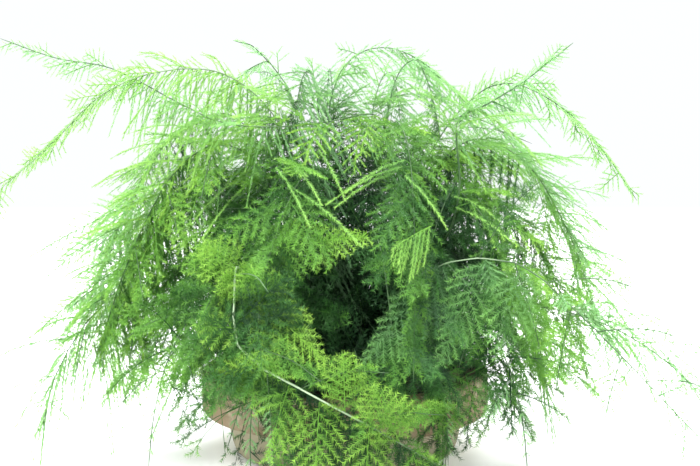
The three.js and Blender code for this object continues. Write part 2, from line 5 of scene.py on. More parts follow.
import bmesh
import bpy
import numpy as np
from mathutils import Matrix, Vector

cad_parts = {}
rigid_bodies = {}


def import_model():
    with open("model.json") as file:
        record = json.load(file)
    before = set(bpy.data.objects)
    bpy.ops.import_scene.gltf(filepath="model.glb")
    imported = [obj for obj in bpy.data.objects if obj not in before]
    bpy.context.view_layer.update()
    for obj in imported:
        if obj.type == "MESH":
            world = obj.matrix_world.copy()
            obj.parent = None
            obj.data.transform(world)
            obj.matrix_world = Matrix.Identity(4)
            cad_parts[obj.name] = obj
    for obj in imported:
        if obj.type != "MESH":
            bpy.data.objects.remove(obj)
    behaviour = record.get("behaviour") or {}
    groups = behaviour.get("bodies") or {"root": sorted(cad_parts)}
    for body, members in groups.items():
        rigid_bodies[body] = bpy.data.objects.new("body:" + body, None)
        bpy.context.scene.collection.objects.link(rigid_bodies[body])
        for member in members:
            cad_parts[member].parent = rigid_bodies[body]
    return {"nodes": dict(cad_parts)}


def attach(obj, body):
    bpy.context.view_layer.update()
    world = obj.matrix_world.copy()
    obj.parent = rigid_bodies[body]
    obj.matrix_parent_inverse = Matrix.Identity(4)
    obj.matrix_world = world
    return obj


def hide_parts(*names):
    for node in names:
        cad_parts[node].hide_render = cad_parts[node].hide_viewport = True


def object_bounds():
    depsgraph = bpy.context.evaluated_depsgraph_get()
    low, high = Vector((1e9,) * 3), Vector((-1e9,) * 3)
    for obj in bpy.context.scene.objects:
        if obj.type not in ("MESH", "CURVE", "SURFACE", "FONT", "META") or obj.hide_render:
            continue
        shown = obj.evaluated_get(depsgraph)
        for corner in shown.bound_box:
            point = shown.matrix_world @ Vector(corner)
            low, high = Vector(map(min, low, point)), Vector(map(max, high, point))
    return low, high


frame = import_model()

cad_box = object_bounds()


# ---- The pot ----
# A wide, shallow plant pan of buff terracotta: pressed and turned on a wheel, with a heavy band
# round the mouth and three drain holes, fired unglazed. It stands on its flat underside.


class Wire:
    """An output of a node. Arithmetic on it adds Math nodes to its tree."""

    def __init__(self, board, socket):
        self.board, self.socket = board, socket

    def __getitem__(self, name):
        return Wire(self.board, self.socket.node.outputs[name])

    def math(self, operation, *values):
        return self.board.node("ShaderNodeMath", {"operation": operation}, dict(enumerate(values)))

    def __add__(self, other):
        return self.math("ADD", self, other)

    def __radd__(self, other):
        return self.math("ADD", other, self)

    def __sub__(self, other):
        return self.math("SUBTRACT", self, other)

    def __rsub__(self, other):
        return self.math("SUBTRACT", other, self)

    def __mul__(self, other):
        return self.math("MULTIPLY", self, other)

    def __rmul__(self, other):
        return self.math("MULTIPLY", other, self)

    def __truediv__(self, other):
        return self.math("DIVIDE", self, other)

    def __gt__(self, other):
        return self.math("GREATER_THAN", self, other)

    def between(self, low, high):
        """0 below low, 1 above high, and smooth between them."""
        settings = {"interpolation_type": "SMOOTHSTEP"}
        return self.board.node("ShaderNodeMapRange", settings, {0: self, 1: low, 2: high})


class Board:
    """A node tree, with one way to add a node to it."""

    def __init__(self, tree):
        self.tree = tree

    def node(self, kind, settings={}, values={}):
        node = self.tree.nodes.new(kind)
        for name, setting in settings.items():
            if name == "stops":
                self.set_stops(node.color_ramp, setting)
            else:
                setattr(node, name, setting)
        for key, value in values.items():
            socket = key if isinstance(key, int) else self.named(node.inputs, key)
            socket = node.inputs[socket] if isinstance(socket, int) else socket
            for one in value if isinstance(value, list) else [value]:
                if isinstance(one, Wire):
                    self.tree.links.new(one.socket, socket)
                else:
                    socket.default_value = one
        shown = [socket for socket in node.outputs if socket.enabled]
        return Wire(self, shown[0]) if shown else None

    @staticmethod
    def named(sockets, name):
        return next(socket for socket in sockets if socket.name == name and socket.enabled)

    @staticmethod
    def set_stops(ramp, stops):
        while len(ramp.elements) < len(stops):
            ramp.elements.new(0.5)
        for element, (place, colour) in zip(ramp.elements, stops):
            element.position = place
            element.color = (*colour, 1)

    def noise(self, where, scale, detail=3, roughness=0.5):
        values = {"Vector": where, "Scale": scale, "Detail": detail, "Roughness": roughness}
        return self.node("ShaderNodeTexNoise", {}, values)

    def mix(self, factor, a, b):
        a, b = (colour if isinstance(colour, Wire) else (*colour, 1) for colour in (a, b))
        return self.node("ShaderNodeMix", {"data_type": "RGBA"}, {0: factor, 6: a, 7: b})


def new_material(name):
    material = bpy.data.materials.new(name)
    material.use_nodes = True
    material.node_tree.nodes.clear()
    return material, Board(material.node_tree)


RIM_RADIUS, RIM_WALL, POT_HEIGHT, RIM_BAND = 0.160, 0.014, 0.092, 0.046
BODY_TOP, BODY_FOOT, BODY_WALL, POT_FLOOR = 0.134, 0.125, 0.011, 0.012
DRAIN_RADIUS, DRAIN_CIRCLE, DRAIN_COUNT, DRAIN_TURN = 0.008, 0.066, 3, 0.5
POT_SIDES = 112


def rounded(profile, rounds):
    """Cuts the corners of an open line of (radius, height) points, again and again."""
    points = [Vector(point) for point in profile]
    for _ in range(rounds):
        cut = [points[0]]
        for a, b in zip(points, points[1:]):
            cut += [a.lerp(b, 0.25), a.lerp(b, 0.75)]
        points = cut + [points[-1]]
    return points


def turned(profile, sides, wander=None):
    """A closed solid turned from a profile that starts and ends on the axis."""
    mesh = bmesh.new()
    rings = []
    for radius, height in profile:
        if radius < 1e-6:
            rings.append([mesh.verts.new((0, 0, height))] * sides)
            continue
        ring = []
        for k in range(sides):
            turn = 2 * math.pi * k / sides
            r, h = wander(radius, height, turn) if wander else (radius, height)
            ring.append(mesh.verts.new((r * math.cos(turn), r * math.sin(turn), h)))
        rings.append(ring)
    for low, high in zip(rings, rings[1:]):
        for k in range(sides):
            after = (k + 1) % sides
            corners = [low[k], low[after], high[after], high[k]]
            mesh.faces.new(list(dict.fromkeys(corners)))
    return mesh


def as_object(name, mesh):
    data = bpy.data.meshes.new(name)
    mesh.to_mesh(data)
    mesh.free()
    piece = bpy.data.objects.new(name, data)
    bpy.context.collection.objects.link(piece)
    return piece


def apply_modifiers(piece):
    """Turns a piece with modifiers into a plain mesh."""
    finished = piece.evaluated_get(bpy.context.evaluated_depsgraph_get())
    data = bpy.data.meshes.new_from_object(finished)
    piece.modifiers.clear()
    piece.data = data


def turning_marks(radius, height, turn):
    """The wheel's faint rings, and a rim that is not quite true."""
    true = radius * (1 + 0.0016 * math.sin(2 * turn + 0.7) + 0.0009 * math.sin(5 * turn))
    rings = 0.00012 * math.sin(height * 2900) + 0.00008 * math.sin(height * 7100 + 1)
    return min(true + rings, radius), height


band_foot = POT_HEIGHT - RIM_BAND
mouth = RIM_RADIUS - RIM_WALL
pot_profile = [
    (0, 0),
    (BODY_FOOT - 0.004, 0),
    (BODY_FOOT, 0.004),
    (BODY_TOP, band_foot - 0.001),
    (RIM_RADIUS - 0.003, band_foot),
    (RIM_RADIUS, band_foot + 0.003),
    (RIM_RADIUS, band_foot + 0.010),
    (RIM_RADIUS, POT_HEIGHT - 0.010),
    (RIM_RADIUS - 0.002, POT_HEIGHT - 0.001),
    (mouth + 0.002, POT_HEIGHT),
    (mouth, POT_HEIGHT - 0.008),
    (mouth - 0.001, band_foot + 0.014),
    (BODY_TOP - BODY_WALL, band_foot + 0.004),
    (BODY_FOOT - BODY_WALL, POT_FLOOR + 0.004),
    (BODY_FOOT - BODY_WALL - 0.005, POT_FLOOR),
    (0, POT_FLOOR),
]
pot = as_object("terracotta_pot", turned(rounded(pot_profile, 2), POT_SIDES, turning_marks))
for k in range(DRAIN_COUNT):
    turn = 2 * math.pi * k / DRAIN_COUNT + DRAIN_TURN
    plug = bmesh.new()
    bmesh.ops.create_cone(
        plug, cap_ends=True, segments=40, radius1=DRAIN_RADIUS, radius2=DRAIN_RADIUS, depth=0.06
    )
    offset = (DRAIN_CIRCLE * math.cos(turn), DRAIN_CIRCLE * math.sin(turn), 0)
    bmesh.ops.translate(plug, verts=plug.verts, vec=offset)
    cutter = as_object(f"drain_cutter_{k}", plug)
    cut = pot.modifiers.new(f"drain {k}", "BOOLEAN")
    cut.operation, cut.object, cut.solver = "DIFFERENCE", cutter, "EXACT"
apply_modifiers(pot)
for cutter in [one for one in bpy.data.objects if one.name.startswith("drain_cutter")]:
    bpy.data.objects.remove(cutter)
for face in pot.data.polygons:
    face.use_smooth = True

terracotta, board = new_material("fired clay")
where = board.node("ShaderNodeTexCoord")["Object"]
height = board.node("ShaderNodeSeparateXYZ", {}, {0: where})["Z"]
blotches = board.noise(where, 14, 5, 0.6)
grit = board.noise(where, 420, 4, 0.7)
stretched = board.node("ShaderNodeMapping", {}, {"Vector": where, "Scale": (7, 7, 60)})
wipes = board.noise(stretched, 5, 3, 0.6)
CLAY, PALE_CLAY, BODY_BLOOM_AND_LIGHT = (0.160, 0.108, 0.056), (0.225, 0.172, 0.100), (0.300, 0.275, 0.180)
DAMP_CLAY, SALT = (0.090, 0.082, 0.040), (0.400, 0.370, 0.270)
clay = board.mix(blotches.between(0.36, 0.66), CLAY, PALE_CLAY)
clay = board.mix(wipes.between(0.5, 0.8) * 0.35, clay, DAMP_CLAY)
# Below the band the body is paler: partly lime bloom, and partly painted light that lifts it out of
# its shade.
clay = board.mix((1 - height.between(0.040, 0.048)) * 0.85, clay, BODY_BLOOM_AND_LIGHT)
damp = (1 - height.between(0.004, 0.040)) * blotches.between(0.25, 0.7)
clay = board.mix(damp * 0.55, clay, DAMP_CLAY)
salt = board.noise(where, 38, 6, 0.72).between(0.53, 0.68) * height.between(0.02, 0.06)
clay = board.mix(salt * 0.5, clay, SALT)
clay = board.mix(grit.between(0.58, 0.8) * 0.4, clay, DAMP_CLAY)
relief = wipes * 0.5 + grit * 0.4 + blotches * 0.3
bump = board.node("ShaderNodeBump", {}, {"Strength": 0.35, "Distance": 0.0006, "Height": relief})
surface = board.node(
    "ShaderNodeBsdfPrincipled",
    {},
    {"Base Color": clay, "Roughness": 0.8 + 0.15 * grit, "Normal": bump},
)
board.node("ShaderNodeOutputMaterial", {}, {"Surface": surface})
pot.data.materials.clear()
pot.data.materials.append(terracotta)
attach(pot, "root")
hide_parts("pot")


# ---- The potting compost ----
# Dark peat and fine bark that fills the pot to below the rim and is a little higher in the
# middle, with crumbs and bark chips lying on it.

SOIL_LEVEL, SOIL_CROWN, SOIL_SIDES = 0.074, 0.082, 100
CLEAR = 0.0003


def crumbly(radius, height, turn):
    """The top of the compost is uneven; its sides and underside keep to the pot."""
    if height < SOIL_LEVEL - 0.0005 or radius > wall - 0.0005:
        return radius, height
    x, y = radius * math.cos(turn), radius * math.sin(turn)
    waves = math.sin(61 * x + 2) * math.cos(53 * y) + math.sin(140 * x - 90 * y)
    return radius, height - 0.0012 + 0.0007 * waves


wall = mouth - 0.001 - 2 * CLEAR
soil_profile = [
    (0, POT_FLOOR + CLEAR),
    (BODY_FOOT - BODY_WALL - 0.006, POT_FLOOR + CLEAR),
    (BODY_FOOT - BODY_WALL - 0.001, POT_FLOOR + 0.005),
    (BODY_TOP - BODY_WALL - 0.001, band_foot + 0.005),
    (wall, band_foot + 0.015),
    (wall, SOIL_LEVEL - 0.002),
]
dome = SOIL_CROWN - SOIL_LEVEL
top = [(wall * t, SOIL_CROWN - dome * t**2) for t in np.linspace(0.995, 0, 30)]
soil = as_object("potting_compost", turned([*soil_profile, *top], SOIL_SIDES, crumbly))
for face in soil.data.polygons:
    face.use_smooth = True

compost, board = new_material("peat and bark")
where = board.node("ShaderNodeTexCoord")["Object"]
lumps = board.noise(where, 160, 6, 0.7)
fine = board.noise(where, 900, 3, 0.6)
PEAT, BARK = (0.016, 0.009, 0.005), (0.085, 0.045, 0.022)
colour = board.mix(lumps.between(0.42, 0.68), PEAT, BARK)
colour = board.mix(fine.between(0.6, 0.8) * 0.5, colour, (0.14, 0.095, 0.055))
relief = lumps + fine * 0.4
bump = board.node("ShaderNodeBump", {}, {"Strength": 0.9, "Distance": 0.003, "Height": relief})
surface = board.node(
    "ShaderNodeBsdfPrincipled", {}, {"Base Color": colour, "Roughness": 0.95, "Normal": bump}
)
board.node("ShaderNodeOutputMaterial", {}, {"Surface": surface})
soil.data.materials.append(compost)

crumbs = bpy.data.node_groups.new("crumbs on the compost", "GeometryNodeTree")
board = Board(crumbs)
for name, kind in {
    "Geometry": "Geometry",
    "Crumbs": "Float",
    "Smallest": "Float",
    "Largest": "Float",
    "Seed": "Int",
    "Material": "Material",
}.items():
    crumbs.interface.new_socket(name, in_out="INPUT", socket_type=f"NodeSocket{kind}")
crumbs.interface.new_socket("Geometry", in_out="OUTPUT", socket_type="NodeSocketGeometry")
given = board.node("NodeGroupInput")
level = board.node("ShaderNodeSeparateXYZ", {}, {0: board.node("GeometryNodeInputPosition")})["Z"]
on_top = level > SOIL_LEVEL - 0.004
points = board.node(
    "GeometryNodeDistributePointsOnFaces",
    {},
    {
        "Mesh": given["Geometry"],
        "Selection": on_top,
        "Density": given["Crumbs"],
        "Seed": given["Seed"],
    },
)
lump = board.node("GeometryNodeMeshIcoSphere", {}, {"Radius": 1.0, "Subdivisions": 1})
turns = board.node(
    "FunctionNodeRandomValue",
    {"data_type": "FLOAT_VECTOR"},
    {"Max": (6.28, 6.28, 6.28), "Seed": given["Seed"]},
)
sizes = board.node(
    "FunctionNodeRandomValue",
    {"data_type": "FLOAT"},
    {"Min": given["Smallest"], "Max": given["Largest"], "Seed": given["Seed"]},
)
squash = board.node(
    "FunctionNodeRandomValue",
    {"data_type": "FLOAT_VECTOR"},
    {"Min": (0.5, 0.4, 0.25), "Max": (1.5, 1.0, 0.7), "Seed": given["Seed"]},
)
scale = board.node("ShaderNodeVectorMath", {"operation": "SCALE"}, {0: squash, "Scale": sizes})
lumps = board.node(
    "GeometryNodeInstanceOnPoints",
    {},
    {"Points": points, "Instance": lump, "Rotation": turns, "Scale": scale},
)
loose = board.node("GeometryNodeRealizeInstances", {}, {"Geometry": lumps})
loose = board.node(
    "GeometryNodeSetMaterial", {}, {"Geometry": loose, "Material": given["Material"]}
)
both = board.node("GeometryNodeJoinGeometry", {}, {0: [loose, given["Geometry"]]})
board.node("NodeGroupOutput", {}, {0: both})


def fill_in(modifier, **values):
    """Sets a modifier's inputs by the names of its tree's sockets."""
    for item in modifier.node_group.interface.items_tree:
        key = item.name.lower().replace(" ", "_")
        if item.in_out == "INPUT" and key in values:
            modifier[item.identifier] = values[key]


scatter = soil.modifiers.new("crumbs", "NODES")
scatter.node_group = crumbs
fill_in(scatter, crumbs=5000.0, smallest=0.0008, largest=0.0034, seed=11, material=compost)
apply_modifiers(soil)
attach(soil, "root")
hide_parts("soil")


# ---- The fern's stems ----
# Wiry stems that grow from one crown. Each carries plumes, thin twigs set all round with needle
# leaves, in flat ranks on both sides, straight from the stem or from side ribs. A stem is one
# piece. Its line and every plume keep to the solid that it replaces.

RING_EDGE = 0.0033  # the edges round a stem are shorter than this, and all others longer
RIB_LIMIT = 0.001056  # a rib's corners lie closer to its middle than a stem's
END_RADIUS = 0.0003  # of a stem or a rib at its very end
NEEDLE_LENGTH, NEEDLE_WIDTH = 0.0061, 0.00076
TUFT_PITCH, TUFT_NEEDLES = 0.0020, 5
NEEDLE_LEAN = math.radians(46)
TWIG_RADIUS = 0.00038
AXIS_RADIUS, AXIS_TAPER = 0.0006, 0.0003
GOLDEN_TURN = 2.39996  # radians from each one on a spiral to the next
BARE_AXIS, NEEDLED = 0.5, 1.0  # the kinds of line, besides 0 for a stem or a rib
NEEDLE_ROOM = 0.007  # twigs that touch the floor lie this high on their needles


class Guide:
    """Lines for one stem: its own line, its ribs and its plumes, with what varies along them."""

    FIELDS = ("thick", "size", "wide", "keep", "lean", "tone", "pale", "plume")

    def __init__(self):
        self.places, self.edges, self.paleness = [], [], 1.0
        self.fields = {name: [] for name in self.FIELDS}

    def line(self, places, **fields):
        first = len(self.places)
        low, high = np.array(cad_box) + [[0, 0, NEEDLE_ROOM], [0, 0, 0]]
        self.places += [tuple(np.clip(place, low, high)) for place in places]
        self.edges += [(first + k, first + k + 1) for k in range(len(places) - 1)]
        for name in self.FIELDS:
            self.fields[name] += list(fields.get(name, [0.0] * len(places)))

    def as_object(self, name):
        data = bpy.data.meshes.new(name)
        data.from_pydata(self.places, self.edges, [])
        for field, values in self.fields.items():
            data.attributes.new(field, "FLOAT", "POINT").data.foreach_set("value", values)
        piece = bpy.data.objects.new(name, data)
        bpy.context.collection.objects.link(piece)
        return piece


def read_stem(node):
    """The stem's line, its ribs' lines and the root and tip of each branchlet of a solid."""
    mesh = bmesh.new()
    mesh.from_mesh(node.data)
    bmesh.ops.remove_doubles(mesh, verts=mesh.verts, dist=2e-6)
    ring_of, rings = {}, []
    for corner in mesh.verts:
        mates = [e.other_vert(corner) for e in corner.link_edges if e.calc_length() < RING_EDGE]
        if corner in ring_of or len(mates) != 2:
            continue
        ring_of.update({one: len(rings) for one in (corner, *mates)})
        rings.append((corner, *mates))
    middles = [sum((v.co for v in ring), Vector()) / 3 for ring in rings]
    widths = [(ring[0].co - middle).length for ring, middle in zip(rings, middles)]
    links = [set() for _ in rings]
    for edge in mesh.edges:
        a, b = (ring_of.get(v) for v in edge.verts)
        if a is not None and b is not None and a != b:
            links[a].add(b)
            links[b].add(a)
    is_rib = [width < RIB_LIMIT for width in widths]
    ends = {}
    for tip in mesh.verts:
        owners = {ring_of.get(e.other_vert(tip)) for e in tip.link_edges}
        if len(tip.link_edges) == 3 and len(owners) == 1:
            ends[owners.pop()] = tip.co.copy()

    def chain(first):
        """The rings from the first to the end, and the point beyond them."""
        order = [first]
        while True:
            ahead = [
                k for k in links[order[-1]] if is_rib[k] == is_rib[first] and k not in order
            ]
            if not ahead:
                break
            order.append(min(ahead, key=lambda k: (middles[k] - middles[order[-1]]).length))
        places = [middles[k] for k in order]
        radii = [widths[k] for k in order]
        if order[-1] in ends:
            places.append(ends[order[-1]])
            radii.append(END_RADIUS)
        return places, radii

    root = max(range(len(rings)), key=lambda k: widths[k])
    stem = chain(root)
    ribs = []
    for k in range(len(rings)):
        bearers = [other for other in links[k] if not is_rib[other]]
        if is_rib[k] and bearers:
            start = sum((middles[other] for other in bearers), Vector()) / len(bearers)
            places, radii = chain(k)
            ribs.append(([start, *places], [radii[0], *radii]))
    pairs = []
    for middle in mesh.verts:
        if middle in ring_of or len(middle.link_edges) == 3:
            continue
        pair = []
        around = [e.other_vert(middle) for e in middle.link_edges]
        for tip in around:
            if len(tip.link_edges) != 3:
                continue
            base = [e.other_vert(tip) for e in tip.link_edges]
            pair.append((sum((v.co for v in base), Vector()) / 3, tip.co.copy()))
        pairs.append((middle.co.copy(), pair))
    pairs.sort(key=lambda one: tuple(one[0]))
    mesh.free()
    return stem, ribs, pairs


# How yellow and bright a stem's leaves are, from 0 to 1, where it is not left to chance.
TONES = {
    "stem_left_arch": 0.62,
    "stem_left_droop": 0.84,
    "stem_top_spray": 0.6,
    "stem_right_wire": 0.5,
    "stem_right_droop": 0.8,
    "stem_right_trail": 0.08,
    "stem_front_trail": 0.5,
    "stem_right_low": 0.5,
    "stem_front_left": 0.5,
    "stem_front_low_left": 0.42,
    "stem_front_middle": 0.42,
    "stem_front_low_right": 0.4,
    "stem_front_right": 0.34,
    "stem_left_low": 0.55,
    "stem_arch_07": 0.66,
    "stem_arch_10": 0.62,
    "stem_arch_13": 0.4,
    "stem_arch_15": 0.6,
    "stem_arch_18": 0.45,
    "stem_arch_23": 0.5,
    "stem_arch_26": 0.4,
    "stem_arch_31": 0.5,
    "stem_arch_06": 0.5,
    "stem_arch_11": 0.55,
    "stem_arch_19": 0.5,
}

# The camera, and the size in pixels of the picture that it takes.
LOOK_AT, DISTANCE, ELEVATION = Vector((0.0055, 0, 0.242)), 1.5, math.radians(7)
EYE = LOOK_AT + DISTANCE * Vector((0, -math.cos(ELEVATION), math.sin(ELEVATION)))
LENS, SENSOR_WIDTH = 69.5, 36  # in millimetres
PICTURE_WIDTH, PICTURE_HEIGHT = 700, 466


def seen(pixel_x, pixel_y, depth):
    """The place at depth y, to a millimetre, behind a pixel in or past the camera's picture."""
    right = (pixel_x - PICTURE_WIDTH / 2) / PICTURE_WIDTH * SENSOR_WIDTH / LENS
    up = (PICTURE_HEIGHT / 2 - pixel_y) / PICTURE_WIDTH * SENSOR_WIDTH / LENS
    ahead, rise = math.cos(ELEVATION), math.sin(ELEVATION)
    reach = (depth - EYE.y) / (ahead + up * rise)
    return round(EYE.x + reach * right, 3), depth, round(EYE.z + reach * (up * ahead - rise), 3)


class Spray(NamedTuple):
    """A large flat spray. It starts beside its stem, and a thin line joins it to the stem."""

    stem: str
    start: tuple
    tip: tuple
    tone: float  # from 0, dark, to 1, yellow and bright
    spread: float  # how far it reaches to the sides, as a share of its length
    pale: float = 0
    face: tuple = (0, -1, 0.3)
    sides: tuple = (1, 1)  # how much of its spread it has on each side


# The sprays on the front of the mound, the near ones bright and those at the right dark.
# The last six are pale, with painted haze of back light, and loosen the mound's edge at the left.
SPRAYS = (
    Spray("arch_18", seen(230, 262, -0.165), seen(367, 216, -0.245), 0.74, 0.27),
    Spray("front_trail", seen(240, 288, -0.212), seen(325, 348, -0.265), 0.8, 0.4),
    Spray("front_trail", seen(240, 329, -0.236), seen(198, 323, -0.25), 0.76, 0.5),
    Spray("arch_18", seen(228, 280, -0.17), seen(199, 238, -0.2), 0.6, 0.5),
    Spray(
        "front_low_left",
        seen(253, 397, -0.216),
        seen(256, 342, -0.268),
        0.76,
        0.6,
        face=(0, -1, 0.1),
    ),
    Spray(
        "front_trail",
        seen(345, 413, -0.255),
        seen(343, 345, -0.285),
        0.72,
        0.4,
        face=(0, -1, 0.1),
    ),
    Spray(
        "front_trail",
        seen(400, 443, -0.259),
        seen(371, 377, -0.288),
        0.72,
        0.5,
        face=(0, -1, 0.1),
    ),
    Spray("front_trail", seen(290, 384, -0.249), seen(266, 451, -0.272), 0.72, 0.55),
    Spray("front_trail", seen(320, 400, -0.252), seen(315, 478, -0.285), 0.7, 0.5),
    Spray("front_trail", (0.024, -0.257, 0.092), (0.018, -0.285, 0.030), 0.7, 0.5),
    Spray("front_trail", (0.062, -0.259, 0.072), (0.078, -0.280, 0.030), 0.66, 0.6),
    Spray(
        "front_low_right",
        (0.088, -0.216, 0.085),
        (0.075, -0.268, 0.125),
        0.6,
        0.5,
        face=(0, -1, 0.1),
    ),
    Spray("front_trail", seen(272, 308, -0.12), seen(346, 303, -0.2), 0.55, 0.3),
    Spray("front_trail", seen(238, 270, -0.195), seen(203, 237, -0.24), 0.78, 0.5),
    Spray("front_trail", seen(262, 300, -0.15), seen(222, 262, -0.235), 0.7, 0.5),
    Spray("front_trail", seen(262, 306, -0.21), seen(248, 262, -0.25), 0.66, 0.6),
    Spray(
        "arch_08", seen(366, 335, -0.046), seen(356, 272, -0.13), 0.5, 0.34, face=(0, -1, 0.1)
    ),
    Spray("arch_18", seen(291, 283, -0.06), seen(338, 262, -0.15), 0.45, 0.3, face=(0, -1, 0.4)),
    Spray("arch_08", seen(370, 250, -0.06), seen(398, 300, -0.17), 0.42, 0.34, face=(0, -1, 0.2)),
    Spray(
        "arch_10",
        seen(205, 170, -0.08),
        seen(182, 238, -0.15),
        0.68,
        0.3,
        pale=0.1,
        face=(0.2, -1, 0.3),
    ),
    Spray("front_right", seen(466, 375, -0.19), seen(480, 430, -0.2), 0.42, 0.55, pale=0.1),
    Spray("front_right", seen(450, 372, -0.19), seen(456, 418, -0.23), 0.42, 0.55),
    Spray("front_right", seen(480, 372, -0.18), seen(505, 405, -0.2), 0.46, 0.55, pale=0.2),
    Spray(
        "arch_08",
        seen(431, 226, -0.25),
        seen(392, 244, -0.262),
        0.74,
        1.1,
        pale=0.15,
        face=(0.3, -1, 0.2),
        sides=(0, 1),
    ),
    Spray(
        "right_trail",
        seen(445, 266, -0.21),
        seen(360, 352, -0.262),
        0.24,
        0.46,
        pale=0.2,
        face=(0.1, -1, 0.3),
        sides=(0.5, 1),
    ),
    Spray(
        "right_trail",
        seen(486, 259, -0.23),
        seen(440, 352, -0.268),
        0.34,
        0.4,
        pale=0.16,
        face=(0.1, -1, 0.3),
        sides=(0.8, 1),
    ),
    Spray(
        "right_trail",
        seen(520, 268, -0.237),
        seen(500, 345, -0.262),
        0.4,
        0.45,
        pale=0.2,
        face=(0.1, -1, 0.3),
    ),
    Spray("arch_10", seen(150, 212, -0.1), seen(60, 250, -0.115), 0.55, 0.34, pale=0.45),
    Spray(
        "arch_10",
        seen(161, 192, -0.095),
        seen(30, 240, -0.1),
        0.55,
        0.2,
        pale=0.6,
        face=(0, -1, 0.2),
    ),
    Spray(
        "arch_10",
        seen(128, 262, -0.112),
        seen(30, 324, -0.12),
        0.55,
        0.2,
        pale=0.5,
        face=(0, -1, 0.2),
    ),
    Spray("left_low", seen(100, 309, -0.096), seen(42, 316, -0.105), 0.6, 0.4, pale=0.45),
    Spray("arch_07", seen(120, 225, 0.055), seen(44, 268, 0.04), 0.55, 0.34, pale=0.5),
    Spray("arch_15", seen(140, 252, 0.02), seen(66, 296, 0.0), 0.55, 0.36, pale=0.4),
)
SPRAY_GAP = 0.0086
# Bright narrow strands, single twigs that lie over the front of the mound: the stem, from where,
# and to where. A thin line joins each one to its stem, as it does the sprays.
STRANDS = (
    ("arch_13", seen(276, 168, -0.18), seen(310, 227, -0.245)),
    ("arch_13", seen(296, 190, -0.19), seen(362, 247, -0.265)),
    ("arch_13", seen(288, 160, -0.17), seen(322, 205, -0.23)),
    ("arch_13", seen(318, 150, -0.14), seen(345, 200, -0.22)),
    ("arch_08", seen(402, 166, -0.19), seen(327, 204, -0.235)),
    ("arch_08", seen(398, 172, -0.19), seen(336, 207, -0.235)),
    ("arch_08", seen(405, 160, -0.19), seen(346, 192, -0.235)),
    ("arch_08", seen(405, 175, -0.2), seen(447, 228, -0.25)),
    ("arch_16", seen(455, 207, -0.13), seen(512, 243, -0.19)),
    ("arch_16", seen(452, 196, -0.12), seen(500, 222, -0.18)),
    ("right_wire", seen(457, 149, -0.12), seen(485, 190, -0.15)),
    ("arch_10", seen(240, 178, -0.06), seen(192, 224, -0.16)),
    ("arch_10", seen(246, 186, -0.06), seen(203, 238, -0.18)),
)
STRAND_TONE, STRAND_PALE, STRAND_SLIM = 0.78, 0.15, 0.6
